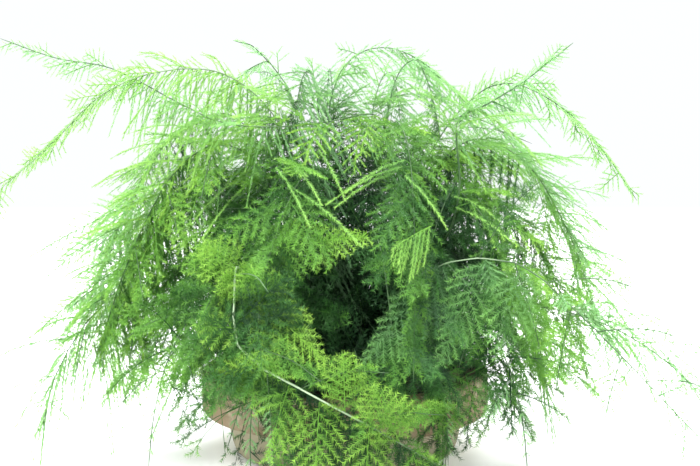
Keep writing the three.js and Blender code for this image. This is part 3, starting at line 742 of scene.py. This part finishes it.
# Long thin plumes that hang in a row from a stem: the stem, the shares of it between which they
# hang, the gap, their way, length, tone, and how pale they are. The ones that are not pale at all
# are broad, and fill the mound.
CURTAINS = (
    ("left_arch", 0.40, 0.60, 0.0065, (0.55, -0.3, -0.8), 0.055, 0.72, 0.45),
    ("left_arch", 0.58, 0.80, 0.0050, (-0.35, -0.1, -0.9), 0.060, 0.8, 0.25),
    ("left_droop", 0.40, 0.66, 0.0045, (-0.2, -0.1, -0.95), 0.060, 0.85, 0.2),
    ("arch_10", 0.40, 0.88, 0.0056, (-0.75, -0.1, -0.35), 0.055, 0.7, 0.3),
    ("arch_07", 0.45, 0.90, 0.0056, (-0.75, 0.0, -0.35), 0.055, 0.7, 0.3),
    ("arch_11", 0.50, 0.85, 0.0070, (0.8, 0.0, -0.3), 0.055, 0.55, 0.45),
    ("arch_19", 0.50, 0.90, 0.0075, (0.9, 0.0, -0.15), 0.055, 0.55, 0.45),
    ("arch_16", 0.55, 0.98, 0.0065, (0.25, -0.2, -0.9), 0.055, 0.4, 0.1),
    ("arch_15", 0.46, 0.72, 0.0055, (-0.1, 0.0, -1), 0.090, 0.5, 0.0),
    ("arch_12", 0.40, 0.85, 0.0070, (-0.2, -0.3, -0.9), 0.080, 0.4, 0.0),
    ("arch_10", 0.54, 0.73, 0.0060, (0.1, 0, -1), 0.100, 0.5, 0.0),
    ("arch_14", 0.36, 0.76, 0.0070, (-0.1, -0.1, -1), 0.080, 0.36, 0.0),
    ("arch_11", 0.34, 0.62, 0.0070, (-0.1, 0, -1), 0.085, 0.4, 0.0),
    ("arch_19", 0.34, 0.70, 0.0060, (-0.1, 0, -1), 0.085, 0.4, 0.0),
    ("arch_16", 0.36, 0.70, 0.0065, (0.1, 0.1, -1), 0.085, 0.36, 0.0),
    ("front_trail", 0.45, 0.98, 0.0055, (0, 0.25, -1), 0.070, 0.12, 0.0),
    ("front_low_right", 0.20, 0.90, 0.0060, (0.1, 0.2, -1), 0.060, 0.2, 0.0),
    ("arch_10", 0.70, 0.98, 0.0062, (0.25, 0.2, -1), 0.080, 0.42, 0.0),
    ("arch_15", 0.60, 0.98, 0.0062, (0.3, 0.1, -1), 0.080, 0.38, 0.0),
    ("arch_07", 0.56, 0.98, 0.0062, (0.3, 0.0, -1), 0.090, 0.42, 0.0),
    ("arch_10", 0.60, 0.82, 0.0060, (-0.1, 0.15, -1), 0.100, 0.42, 0.0),
    ("arch_15", 0.38, 0.64, 0.0070, (0.25, 0.25, -1), 0.100, 0.36, 0.0),
    ("arch_20", 0.42, 0.95, 0.0070, (-0.4, -0.1, -0.9), 0.080, 0.36, 0.0),
    ("left_low", 0.40, 0.98, 0.0060, (-0.3, -0.1, -0.9), 0.080, 0.66, 0.5),
    ("arch_15", 0.72, 0.98, 0.0060, (-0.5, -0.1, -0.8), 0.050, 0.6, 0.4),
    ("left_droop", 0.56, 0.90, 0.0060, (-0.65, -0.1, -0.7), 0.034, 0.82, 0.3),
    ("arch_08", 0.22, 0.48, 0.0050, (0.7, -0.55, -0.5), 0.060, 0.74, 0.3),
    ("arch_13", 0.20, 0.50, 0.0060, (0.5, -0.6, -0.7), 0.055, 0.74, 0.3),
    ("crown_03", 0.62, 0.98, 0.0080, (0.75, -0.45, -0.5), 0.060, 0.66, 0.5),
    ("crown_05", 0.62, 0.98, 0.0080, (0.4, -0.5, -0.7), 0.055, 0.66, 0.5),
    ("top_spray", 0.64, 0.98, 0.0095, (0.75, -0.2, -0.6), 0.050, 0.6, 0.7),
    ("right_droop", 0.58, 0.90, 0.0090, (0.55, -0.1, -0.8), 0.030, 0.6, 0.6),
    ("right_wire", 0.66, 0.90, 0.0090, (0.75, -0.2, -0.5), 0.045, 0.5, 0.8),
)
# Small airy sprays on the ends that reach out: from which share of the stem, and the gap.
WISPS = {
    "stem_left_arch": (0.58, 0.015),
    "stem_left_droop": (0.62, 0.020),
    "stem_top_spray": (0.70, 0.016),
    "stem_right_droop": (0.60, 0.018),
    "stem_right_wire": (0.66, 0.015),
    "stem_right_trail": (0.50, 0.020),
    "stem_right_low": (0.55, 0.020),
    "stem_left_low": (0.60, 0.020),
}
# How pale the leaves get at the outer edge of the mound, where it is less than 1. The pale
# is painted haze of back light.
PALENESS = {
    "stem_left_arch": 0.75,
    "stem_left_droop": 0.4,
    "stem_left_low": 0.6,
    "stem_arch_07": 0.45,
    "stem_arch_10": 0.45,
    "stem_arch_15": 0.6,
    "stem_top_spray": 0.8,
    "stem_right_droop": 0.6,
    "stem_right_wire": 0.8,
}
# How pale a stem's own bark is, up to which y, and up to which x. Past that x it is a fifth.
PALE_STEMS = {
    "stem_front_trail": (0.9, -0.19, 0.0),
    "stem_right_trail": (0.34, -0.19, 0.14),
    "stem_left_droop": (0.3, 0.3, 0.3),
}
# Where the side fronds end on the stems that reach out of the mound, as a share of the stem.
BARE_FROM = {
    "stem_left_arch": 0.6,
    "stem_left_droop": 0.72,
    "stem_top_spray": 0.6,
    "stem_right_wire": 0.75,
    "stem_right_droop": 0.6,
    "stem_right_trail": 0.16,
}
TIP_ROOM = 0.0025  # the last needles reach this far past a plume's twig
FROND_GAP, FROND_LENGTH, PLUME_GAP = 0.0152, 0.098, 0.0108
STEM_SHARE = 0.5  # most real stems are thinner than the solids that stand for them
THICKER_STEMS = {"stem_right_wire": 0.8, "stem_front_trail": 0.85}


def inside_box(place, droop=0.0, room=0.001):
    """True where a place, and the place that it droops to, keep to the plant's own box."""
    low, high = cad_box
    if place[2] - droop < 0.008:
        return False
    return all(low[k] - room < place[k] < high[k] + room for k in range(3))


HOLLOW_BACK, HOLLOW_FRONT = Vector((0.020, -0.040, 0.176)), Vector((0.027, -0.330, 0.214))
HOLLOW_ROOM = 0.030


def from_hollow(place):
    """How far a place is from the middle of the dark gap at the front of the mound."""
    way = HOLLOW_FRONT - HOLLOW_BACK
    along = min(max((place - HOLLOW_BACK).dot(way) / way.length_squared, 0), 1)
    return (place - HOLLOW_BACK - way * along).length


def reach_of(place, top=0.33, front=1.0):
    """How far out in the mound a place is: 0 at its heart and about 1 at its outside."""
    x, y, z = place
    wide = 0.30 - 0.9 * max(0.12 - z, 0)
    deep = (y if y > 0 else front * y) / (wide - 0.03)
    return math.sqrt((x / wide) ** 2 + deep**2 + (max(z - 0.12, 0) / top) ** 2)


def ramp(value, low, high):
    return min(max((value - low) / (high - low), 0), 1)


def airiness(place):
    """0 in the mound, 1 at its outer edge to the sides, above and behind."""
    return ramp(reach_of(place, 0.30, 0.0), 0.86, 1.12)


def core_of(place):
    """How far out a place is from the dark core of the mound, which is narrow from side to side."""
    x, y, z = place
    return math.sqrt((x / 0.22) ** 2 + (y / 0.25) ** 2 + (max(z - 0.12, 0) / 0.30) ** 2)


def fringe(place):
    """1 where plumes hang beside the pot and below its rim, but not at the front, and else 0."""
    x, y, z = place
    if math.hypot(x, y) < 0.16 or (-0.07 < x < 0.1 and y < 0):
        return 0
    return ramp(0.11 - z, 0, 0.03)


# The gaps in the foliage through which the sides of the pot show: from which x, to which x, and
# how high they are.
POT_GAPS = ((-0.15, -0.08, 0.1), (0.092, 0.13, 0.048))


def before_pot(place):
    """True in the gaps in the foliage through which the sides of the pot show."""
    x, y, z = place
    return y < -0.12 and any(left < x < right and z < high for left, right, high in POT_GAPS)


def hides_view(place):
    """True beside and before the sides of the pot, and before the kinked wire at the right."""
    x, y, z = place
    return fringe(place) > 0.5 or (y < -0.11 and 0.08 < x < 0.145 and 0.26 < z < 0.385)


def tone_and_top_light_at(place):
    """The front left and the low front are yellower, and the right front is bluer.
    The top is lighter: painted light from above.
    """
    x, y, z = place
    left = math.exp(-(((x + 0.085) / 0.07) ** 2) - ((z - 0.19) / 0.08) ** 2) * ramp(-y, 0.05, 0.15)
    right = ramp(x, 0.02, 0.08) * ramp(0.19 - x, 0, 0.06)
    right = right * ramp(-y, 0, 0.1) * ramp(0.30 - z, 0, 0.06)
    return 0.06 * left - 0.2 * right + 0.24 * ramp(z, 0.22, 0.4)


def add_twig(guide, places, tone, pale=0.0, slim=0.0):
    """A needled twig. It has fewer and wider needles deep inside, and finer ones outside."""
    if before_pot(places[-1]) and (places[-1] - places[0]).length > 0.014:
        return
    core, airy = core_of(places[-1]), airiness(places[-1])
    deep, shade = 1 - ramp(core, 0.62, 0.9), 1 - ramp(core, 0.70, 1.02)
    # Painted side light: twigs at the sides of the mound keep at least a middling tone.
    tone = max(tone, 0.42 * ramp(abs(places[-1].x), 0.12, 0.2))
    near, slim = ramp(-places[-1].y, 0.14, 0.22), max(slim, 0.8 * airy)
    shares = np.linspace(0, 1, len(places))
    many = len(places)
    full = 1 + 0.35 * deep + 0.3 * near * (1 - slim) - 0.35 * slim
    behind = ramp(places[-1].y, 0.06, 0.12)
    guide.line(
        places,
        thick=[TWIG_RADIUS * (1 - 0.6 * t) for t in shares],
        size=[(0.8 + 0.8 * t - 1.05 * t * t) * full for t in shares],
        wide=[1 + 1.2 * deep - 0.22 * near] * many,
        keep=[(1 - 0.66 * deep - 0.15 * airy) * (1 - 0.4 * behind) * (0.8 + 0.2 * near)] * many,
        lean=[1 + 0.25 * near * (1 - slim) - 0.55 * slim] * many,
        # Painted shade darkens the tone deep in the mound, and painted light lifts it at the outer
        # edge, where the pale is painted haze of back light.
        tone=[(tone + 0.1 * airy + 0.22 * t * t) * (1 - 0.85 * shade) for t in shares],
        pale=[max(pale, guide.paleness * airy)] * many,
        plume=[NEEDLED] * many,
    )


def add_plume(guide, root, tip, across, tone, draw):
    """A needled twig that arches a little over the straight way from root to tip."""
    way = tip - root
    low = fringe(tip)
    length = max(way.length - TIP_ROOM, 0.004) * draw.uniform(0.7 - 0.3 * airiness(tip), 1)
    length *= 1 - 0.5 * low
    if before_pot(tip):
        length = min(length, 0.012)
    way.normalize()
    across = (across - way * across.dot(way)).normalized()
    bow = way.cross(across) * draw.uniform(-0.05, 0.05) + across * draw.uniform(-0.04, 0.04)
    bow += Vector((0, 0, draw.uniform(0.0, 0.06)))
    shares = np.linspace(0, 1, 3 if length < 0.03 else 4)
    places = [root + way * (length * t) + bow * (length * 4 * t * (1 - t)) for t in shares]
    add_twig(guide, places, tone + 0.2 * low, 0.65 * low, 0.7 * low)


def add_frond(
    guide,
    root,
    way,
    face,
    length,
    tone,
    draw,
    pale=0.0,
    spread=0.46,
    sides=(1, 1),
    gap=None,
    slim=0.0,
):
    """A flat frond: an axis that droops, with plumes on both sides, shorter towards the tip."""
    across = way.cross(face).normalized()
    droop = draw.uniform(0.15, 0.5) if gap is None else 0.12
    gap = gap or PLUME_GAP * (1 + 0.35 * airiness(root + way * length))

    def at(t):
        return root + way * (length * t) - Vector((0, 0, droop * length * t * t))

    shares = np.linspace(0, 1, 5)
    thick = [AXIS_RADIUS - AXIS_TAPER * t for t in shares]
    guide.line([at(t) for t in shares], thick=thick, tone=[tone] * 5, plume=[BARE_AXIS] * 5)
    add_twig(guide, [at(t) for t in (0.66, 0.83, 1)], tone + 0.1, pale, slim)
    steps = max(int(length / gap), 2)
    for k in range(steps):
        t = (k + 0.6) / steps
        ahead = (at(min(t + 0.05, 1)) - at(t - 0.05)).normalized()
        for hand, width in zip((1, -1), sides):
            start = at(t + 0.25 * hand / steps)
            reach = width * (spread * length * (1 - t) ** 0.85 * min(1, 0.55 + 1.6 * t) + 0.005)
            reach *= draw.uniform(0.82, 1.12)
            if reach < 0.003:
                continue
            lean = math.radians(64 - 24 * t) * draw.uniform(0.92, 1.08)
            side = ahead * math.cos(lean) + across * (hand * math.sin(lean))
            side += face * draw.uniform(-0.12, 0.12)
            bend = ahead * (0.10 * reach) + Vector((0, 0, -0.16 * reach))
            half = start + side * (0.5 * reach) + bend * 0.25
            places = [start, half, start + side * reach + bend]
            if reach < 0.017:
                del places[1]
            add_twig(guide, places, tone + draw.uniform(-0.06, 0.06) + 0.1 * t, pale, slim)


def along_line(places, gap):
    """Evenly spaced places on a line, each with its way ahead and its share of the length."""
    steps = [(b - a).length for a, b in zip(places, places[1:])]
    whole = sum(steps)
    here = 0.0
    found = []
    for (a, b), step in zip(zip(places, places[1:]), steps):
        while len(found) * gap < here + step:
            t = (len(found) * gap - here) / step
            found.append((a.lerp(b, t), (b - a).normalized(), len(found) * gap / whole))
        here += step
    return found


def add_side_fronds(guide, places, first, last, tone, is_front, draw):
    """Fronds all round a stem, from its first share to its last, that face up and outwards."""
    turn = draw.uniform(0, 2 * math.pi)
    for place, ahead, share in along_line(places, FROND_GAP * (0.8 if is_front else 0.94)):
        turn += GOLDEN_TURN
        sparse = 0.4 if place.y > 0.1 else 0.22 if abs(place.x) < 0.11 else 0
        if draw.random() < sparse + 0.35 * (place.z > 0.35 and place.x > 0.05):
            continue
        near_soil = place.z < 0.092 and math.hypot(place.x, place.y) < 0.15
        if not first <= share <= last or near_soil:
            continue
        out = Vector((place.x, place.y, 0))
        out = out.normalized() if out.length > 0.01 else Vector((0, -1, 0))
        side = ahead.orthogonal().normalized()
        around = side * math.cos(turn) + ahead.cross(side) * math.sin(turn)
        rise = 0.1 + 0.6 * min(max((0.16 - place.z) / 0.07, 0), 1) * (out.dot(place) < 0.15)
        way = (ahead * 0.45 + around * 0.85 + out * 0.45 + Vector((0, 0, rise))).normalized()
        high = ramp(place.z, 0.26, 0.35)
        face = Vector((0, 0, 0.6 + 0.6 * high)) + out * (0.75 - 0.65 * high)
        face += Vector(draw.uniform(-0.3, 0.3, 3))
        face = (face - way * face.dot(way)).normalized()
        if is_front and place.y < -0.15 and draw.random() < 0.75:
            rise = draw.uniform(-0.4, 0.9) - 1.1 * ramp(0.16 - place.z, 0, 0.03)
            way = Vector((draw.uniform(-0.9, 0.9), -0.1, rise)).normalized()
            face = Vector((draw.uniform(-0.3, 0.3), -1, 0.4))
            face = (face - way * face.dot(way)).normalized()
        length = FROND_LENGTH * draw.uniform(0.7, 1.1) * (1 - 0.35 * share)
        while length > 0.02 and not inside_box(place + way * length, 0.45 * length):
            length *= 0.85
        if min(from_hollow(place + way * (t * length)) for t in (0, 0.35, 0.7, 1)) < HOLLOW_ROOM:
            continue
        if hides_view(place + way * (0.6 * length)):
            continue
        if place.z < 0.28 and reach_of(place) < 0.4:
            back = Vector((way.y, abs(way.x) + 0.3, way.z)).normalized()
            add_frond(guide, place, back, Vector((0, -0.6, 0.8)), 0.8 * length, tone, draw)
        frond_tone = tone_and_top_light_at(place + way * (0.5 * length)) + tone + draw.uniform(-0.2, 0.14)
        # Painted shade: the front stems' own fronds, behind the bright sprays, and all fronds near
        # the front are darker.
        frond_tone -= 0.33 * is_front + 0.07 * ramp(-place.y, 0.12, 0.18)
        add_frond(guide, place, way, face, length, frond_tone, draw, slim=0.6 * high)


def join_to(guide, places, start, tone):
    """A thin bare line to a start beside a stem, from the place on the stem that is nearest."""
    on_stem = [place for place, _, _ in along_line(places, 0.002)]
    nearest = min(on_stem, key=lambda place: (place - start).length)
    thick, kind = [AXIS_RADIUS] * 2, [BARE_AXIS] * 2
    guide.line([nearest, start], thick=thick, tone=[tone] * 2, plume=kind)


def add_hanging(guide, root, way, length, tone, pale, draw):
    """One long thin plume that droops from a stem."""
    way = way + Vector(draw.uniform(-0.22, 0.22, 3))
    reach = length * draw.uniform(0.45, 1.2)
    drop = Vector((0, 0, -0.25 * reach))
    places = [root + way * (t * reach) + drop * (t * t) for t in (0, 0.35, 0.7, 1)]
    add_twig(guide, places, tone + draw.uniform(-0.1, 0.1), pale, 0.85 if pale > 0 else 0.2)


def guide_for(node):
    """All the lines of one stem."""
    (places, radii), ribs, pairs = read_stem(node)
    draw = np.random.default_rng(sum(map(ord, node.name)))
    chance = draw.uniform(0.2, 0.56)
    stem_tone = TONES.get(node.name, chance)
    guide = Guide()
    guide.paleness = PALENESS.get(node.name, 1.0)
    share = THICKER_STEMS.get(node.name, STEM_SHARE)
    thin = [share * radius for radius in radii]
    paleness, last_y, last_x = PALE_STEMS.get(node.name, (0, 0, 0))
    pale = [paleness * (place.y < last_y) * (1 if place.x < last_x else 0.2) for place in places]
    guide.line(places, thick=thin, tone=[stem_tone] * len(thin), pale=pale)
    last = BARE_FROM.get(node.name, 0.95)
    is_front = node.name.startswith("stem_front")
    add_side_fronds(guide, places, 0.03, last, stem_tone, is_front, draw)
    for spray in SPRAYS:
        if node.name == f"stem_{spray.stem}":
            root, face = Vector(spray.start), Vector(spray.face)
            join_to(guide, places, root, spray.tone)
            way = Vector(spray.tip) - root
            length = way.length
            more = {"pale": spray.pale, "spread": spray.spread, "sides": spray.sides}
            more["gap"] = SPRAY_GAP
            if 0 in spray.sides:
                more.update(gap=0.5 * SPRAY_GAP, slim=0.55)
            add_frond(guide, root, way / length, face, length, spray.tone, draw, **more)
    for stem, start, tip in STRANDS:
        if node.name == f"stem_{stem}":
            root, tip = Vector(start), Vector(tip)
            join_to(guide, places, root, tone=0.5)
            shares = (0, 0.35, 0.7, 1)
            strand = [root.lerp(tip, t) + Vector((0, 0, 0.02 * t * (1 - t))) for t in shares]
            add_twig(guide, strand, STRAND_TONE, STRAND_PALE, STRAND_SLIM)
    for stem, low, high, gap, way, length, tone, pale in CURTAINS:
        if node.name == f"stem_{stem}":
            for place, _, share in along_line(places, gap):
                if low < share < high:
                    add_hanging(guide, place, Vector(way), length, tone, pale, draw)
    first, gap = WISPS.get(node.name, (1, 1))
    for place, ahead, share in along_line(places, gap):
        if share > first and draw.random() < 0.8:
            way = ahead * draw.uniform(0.2, 1) + Vector(draw.uniform(-0.6, 0.6, 3))
            way = Vector((way.x, 0.6 * way.y, way.z - 0.15)).normalized()
            face = Vector((draw.uniform(-0.4, 0.4), -1, draw.uniform(-0.2, 0.6)))
            length = draw.uniform(0.020, 0.050) * (1.15 - 0.5 * share)
            if inside_box(place + way * length):
                tone = max(stem_tone, 0.5) + draw.uniform(-0.1, 0.1)
                more = {"pale": 0.6 * guide.paleness, "gap": 0.0055, "slim": 0.6}
                add_frond(guide, place, way, face, length, tone, draw, **more)
    for rib_places, rib_radii in ribs:
        thin = [STEM_SHARE * radius for radius in rib_radii]
        guide.line(rib_places, thick=thin, tone=[stem_tone] * len(thin))
    for middle, pair in pairs:
        if node.name == "stem_front_trail" and middle.z > 0.19:
            continue
        across = pair[-1][0] - middle
        outer = 0.5 * ramp(middle.x, 0.13, 0.2) * (node.name == "stem_right_trail")
        for root, tip in pair:
            tone = stem_tone + outer + draw.uniform(-0.14, 0.14)
            add_plume(guide, root, tip, across, tone, draw)
        if len(pair) == 2 and not hides_view(middle):
            (root_a, tip_a), (root_b, tip_b) = pair
            way = ((tip_a - root_a) + (tip_b - root_b)) / 2 * draw.uniform(0.8, 1.0)
            tone = stem_tone + outer + draw.uniform(-0.14, 0.14)
            add_plume(guide, middle, middle + way, across, tone, draw)
    return guide


growth = bpy.data.node_groups.new("needled stem", "GeometryNodeTree")
board = Board(growth)
for name, kind in {
    "Geometry": "Geometry",
    "Needle Length": "Float",
    "Needle Width": "Float",
    "Tuft Pitch": "Float",
    "Tuft Needles": "Int",
    "Lean": "Float",
    "Seed": "Int",
    "Stem Material": "Material",
    "Needle Material": "Material",
}.items():
    growth.interface.new_socket(name, in_out="INPUT", socket_type=f"NodeSocket{kind}")
growth.interface.new_socket("Geometry", in_out="OUTPUT", socket_type="NodeSocketGeometry")
given = board.node("NodeGroupInput")


def field(name):
    return board.node("GeometryNodeInputNamedAttribute", {"data_type": "FLOAT"}, {"Name": name})


def drawn(low, high, salt):
    seed = given["Seed"] + salt
    return board.node(
        "FunctionNodeRandomValue", {"data_type": "FLOAT"}, {"Min": low, "Max": high, "Seed": seed}
    )


def skinned(curves, ring, capped, material):
    values = {"Curve": curves, "Profile Curve": ring, "Scale": field("thick"), "Fill Caps": capped}
    skin = board.node("GeometryNodeCurveToMesh", {}, values)
    smooth = board.node("GeometryNodeSetShadeSmooth", {}, {"Geometry": skin})
    return board.node("GeometryNodeSetMaterial", {}, {"Geometry": smooth, "Material": material})


lines = board.node("GeometryNodeMeshToCurve", {}, {"Mesh": given["Geometry"]})
parted = board.node(
    "GeometryNodeSeparateGeometry",
    {"domain": "CURVE"},
    {"Geometry": lines, "Selection": field("plume") > 0.5 * BARE_AXIS},
)
twigs, stems = parted["Selection"], parted["Inverted"]
needled = board.node(
    "GeometryNodeSeparateGeometry",
    {"domain": "CURVE"},
    {"Geometry": twigs, "Selection": field("plume") > 0.5 * (BARE_AXIS + NEEDLED)},
)
stems = board.node("GeometryNodeCurveSplineType", {"spline_type": "CATMULL_ROM"}, {"Curve": stems})
stems = board.node(
    "GeometryNodeResampleCurve", {"mode": "LENGTH"}, {"Curve": stems, "Length": 0.007}
)
points = board.node(
    "GeometryNodeCurveToPoints",
    {"mode": "LENGTH"},
    {"Curve": needled["Selection"], "Length": given["Tuft Pitch"]},
)
points = board.node(
    "GeometryNodeStoreNamedAttribute",
    {"data_type": "QUATERNION", "domain": "POINT"},
    {"Geometry": points["Points"], "Name": "facing", "Value": points["Rotation"]},
)
points = board.node(
    "GeometryNodeDuplicateElements",
    {"domain": "POINT"},
    {"Geometry": points, "Amount": given["Tuft Needles"]},
)
shift = (points["Duplicate Index"] + drawn(0.0, 1.0, 9)) / given["Tuft Needles"] - 0.5
shift = board.node("ShaderNodeCombineXYZ", {}, {"Z": shift * given["Tuft Pitch"]})
facing = board.node(
    "GeometryNodeInputNamedAttribute", {"data_type": "QUATERNION"}, {"Name": "facing"}
)
shift = board.node("FunctionNodeRotateVector", {}, {"Vector": shift, "Rotation": facing})
points = board.node(
    "GeometryNodeSetPosition", {}, {"Geometry": points["Geometry"], "Offset": shift}
)
kept = board.node(
    "GeometryNodeSeparateGeometry",
    {"domain": "POINT"},
    {"Geometry": points, "Selection": field("keep") > drawn(0.0, 1.0, 3)},
)
spiral = board.node("GeometryNodeInputIndex") * GOLDEN_TURN + drawn(-1.4, 1.4, 5)
leaning = given["Lean"] * drawn(0.75, 1.2, 7) * field("lean")
turn = board.node("ShaderNodeCombineXYZ", {}, {"X": leaning, "Z": spiral})
turn = board.node("FunctionNodeEulerToRotation", {}, {"Euler": turn})
turned_way = board.node(
    "FunctionNodeRotateRotation",
    {"rotation_space": "LOCAL"},
    {"Rotation": facing, "Rotate By": turn},
)
long = given["Needle Length"] * field("size") * drawn(0.75, 1.15, 13)
wide = given["Needle Width"] * field("wide")
scale = board.node("ShaderNodeCombineXYZ", {}, {"X": wide, "Y": wide, "Z": long})
blade = board.node(
    "GeometryNodeMeshCircle", {"fill_type": "NGON"}, {"Vertices": 3, "Radius": 1.0}
)
blade = board.node(
    "GeometryNodeTransform", {}, {"Geometry": blade, "Translation": (0.5, 0, 0)}
)
needle = board.node(
    "GeometryNodeTransform",
    {},
    {"Geometry": blade, "Rotation": (0, -math.pi / 2, 0), "Scale": (2 / 3, 1 / math.sqrt(3), 1)},
)
needles = board.node(
    "GeometryNodeInstanceOnPoints",
    {},
    {"Points": kept["Selection"], "Instance": needle, "Rotation": turned_way, "Scale": scale},
)
needles = board.node("GeometryNodeRealizeInstances", {}, {"Geometry": needles})
needles = board.node(
    "GeometryNodeSetMaterial", {}, {"Geometry": needles, "Material": given["Needle Material"]}
)
rings = [
    board.node("GeometryNodeCurvePrimitiveCircle", {}, {"Resolution": sides, "Radius": 1.0})
    for sides in (5, 3)
]
fold = board.node(
    "GeometryNodeCurveArc", {}, {"Resolution": 3, "Radius": 1.0, "Sweep Angle": math.pi}
)
whole = board.node(
    "GeometryNodeJoinGeometry",
    {},
    {
        0: [
            skinned(stems, rings[0], True, given["Stem Material"]),
            skinned(needled["Inverted"], rings[1], False, given["Needle Material"]),
            skinned(needled["Selection"], fold, False, given["Needle Material"]),
            needles,
        ]
    },
)
board.node("NodeGroupOutput", {}, {0: whole})

leaf, board = new_material("needle leaf")
where = board.node("ShaderNodeTexCoord")["Object"]
tone = board.node("ShaderNodeAttribute", {"attribute_name": "tone"})["Fac"]
patches = board.noise(where, 9, 3, 0.6)
tone = tone + (patches - 0.5) * 0.5
pale = board.node("ShaderNodeAttribute", {"attribute_name": "pale"})["Fac"]
LEAF_STOPS = [
    (0.0, (0.009, 0.036, 0.014)),
    (0.35, (0.037, 0.128, 0.023)),
    (0.7, (0.134, 0.325, 0.044)),
    (1.0, (0.290, 0.520, 0.076)),
]
EDGE_HAZE = (0.36, 0.64, 0.33)
colour = board.node("ShaderNodeValToRGB", {"stops": LEAF_STOPS}, {"Fac": tone})
# Painted haze of back light: pale leaves are mixed towards a pale green.
colour = board.mix(pale * 0.7, colour, EDGE_HAZE)
body = board.node(
    "ShaderNodeBsdfPrincipled",
    {},
    {"Base Color": colour, "Roughness": 0.55, "Specular IOR Level": 0.22},
)
LEAF_GLOW, HAZE_GLOW = (0.17, 0.38, 0.055, 1), (0.40, 0.68, 0.36, 1)
glow = board.node("ShaderNodeBsdfTranslucent", {}, {"Color": LEAF_GLOW})
lit = 0.26 * tone.between(0.15, 1.05)
surface = board.node("ShaderNodeMixShader", {}, {0: lit, 1: body, 2: glow})
glow = board.node("ShaderNodeBsdfTranslucent", {}, {"Color": HAZE_GLOW})
surface = board.node("ShaderNodeMixShader", {}, {0: 0.4 * pale, 1: surface, 2: glow})
board.node("ShaderNodeOutputMaterial", {}, {"Surface": surface})

bark, board = new_material("green stem")
where = board.node("ShaderNodeTexCoord")["Object"]
streaks = board.noise(where, 60, 3, 0.6)
pale = board.node("ShaderNodeAttribute", {"attribute_name": "pale"})["Fac"]
GREEN_BARK, LIGHT_BARK, PALE_BARK = (0.022, 0.070, 0.018), (0.06, 0.13, 0.04), (0.46, 0.60, 0.38)
colour = board.mix(streaks.between(0.35, 0.65), GREEN_BARK, LIGHT_BARK)
colour = board.mix(pale, colour, PALE_BARK)
surface = board.node("ShaderNodeBsdfPrincipled", {}, {"Base Color": colour, "Roughness": 0.55})
board.node("ShaderNodeOutputMaterial", {}, {"Surface": surface})

stem_nodes = sorted(name for name in frame["nodes"] if name.startswith("stem_"))
for seed, name in enumerate(stem_nodes):
    piece = guide_for(frame["nodes"][name]).as_object(f"fern_{name}")
    grow = piece.modifiers.new("growth", "NODES")
    grow.node_group = growth
    fill_in(
        grow,
        needle_length=NEEDLE_LENGTH,
        needle_width=NEEDLE_WIDTH,
        tuft_pitch=TUFT_PITCH,
        tuft_needles=TUFT_NEEDLES,
        lean=NEEDLE_LEAN,
        seed=100 * seed,
        stem_material=bark,
        needle_material=leaf,
    )
    apply_modifiers(piece)
    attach(piece, "root")
    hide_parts(name)


# ---- The floor, the light and the camera ----
# A plain pale floor in a bright white room. Two large soft lamps hang above, in front at the left
# and behind at the right, and a weaker one stands on each side.

floor_mesh = bmesh.new()
bmesh.ops.create_grid(floor_mesh, x_segments=1, y_segments=1, size=2.6)
floor = as_object("floor", floor_mesh)
floor.location.z = -0.0005
pale, board = new_material("pale floor")
where = board.node("ShaderNodeTexCoord")["Object"]
colour = board.mix(board.noise(where, 3), (0.91, 0.92, 0.925), (0.94, 0.945, 0.95))
surface = board.node("ShaderNodeBsdfPrincipled", {}, {"Base Color": colour, "Roughness": 0.7})
board.node("ShaderNodeOutputMaterial", {}, {"Surface": surface})
floor.data.materials.append(pale)

room = bpy.data.worlds.new("white room")
room.use_nodes = True
room.node_tree.nodes["Background"].inputs["Color"].default_value = (0.96, 0.99, 1.0, 1)
room.node_tree.nodes["Background"].inputs["Strength"].default_value = 1.03
bpy.context.scene.world = room

for name, place, size, power in (
    ("key", (-0.9, -1.1, 2.5), 1.4, 165),
    ("back", (0.7, 1.3, 2.2), 1.6, 110),
    ("left", (-1.7, 0.5, 0.6), 1.2, 24),
    ("right", (1.7, 0.5, 0.6), 1.2, 24),
):
    lamp = bpy.data.lights.new(name, "AREA")
    lamp.shape, lamp.size, lamp.energy = "DISK", size, power
    lamp_object = bpy.data.objects.new(name, lamp)
    lamp_object.location = place
    aim = Vector((0, 0, 0.25)) - Vector(place)
    lamp_object.rotation_euler = aim.to_track_quat("-Z", "Y").to_euler()
    bpy.context.collection.objects.link(lamp_object)

camera = bpy.data.objects.new("camera", bpy.data.cameras.new("camera"))
camera.data.lens, camera.data.sensor_width = LENS, SENSOR_WIDTH
camera.location = EYE
aim = (LOOK_AT - camera.location).to_track_quat("-Z", "Y")
camera.rotation_euler = aim.to_euler()
bpy.context.collection.objects.link(camera)
bpy.context.scene.camera = camera
bpy.context.scene.view_settings.view_transform = "Standard"
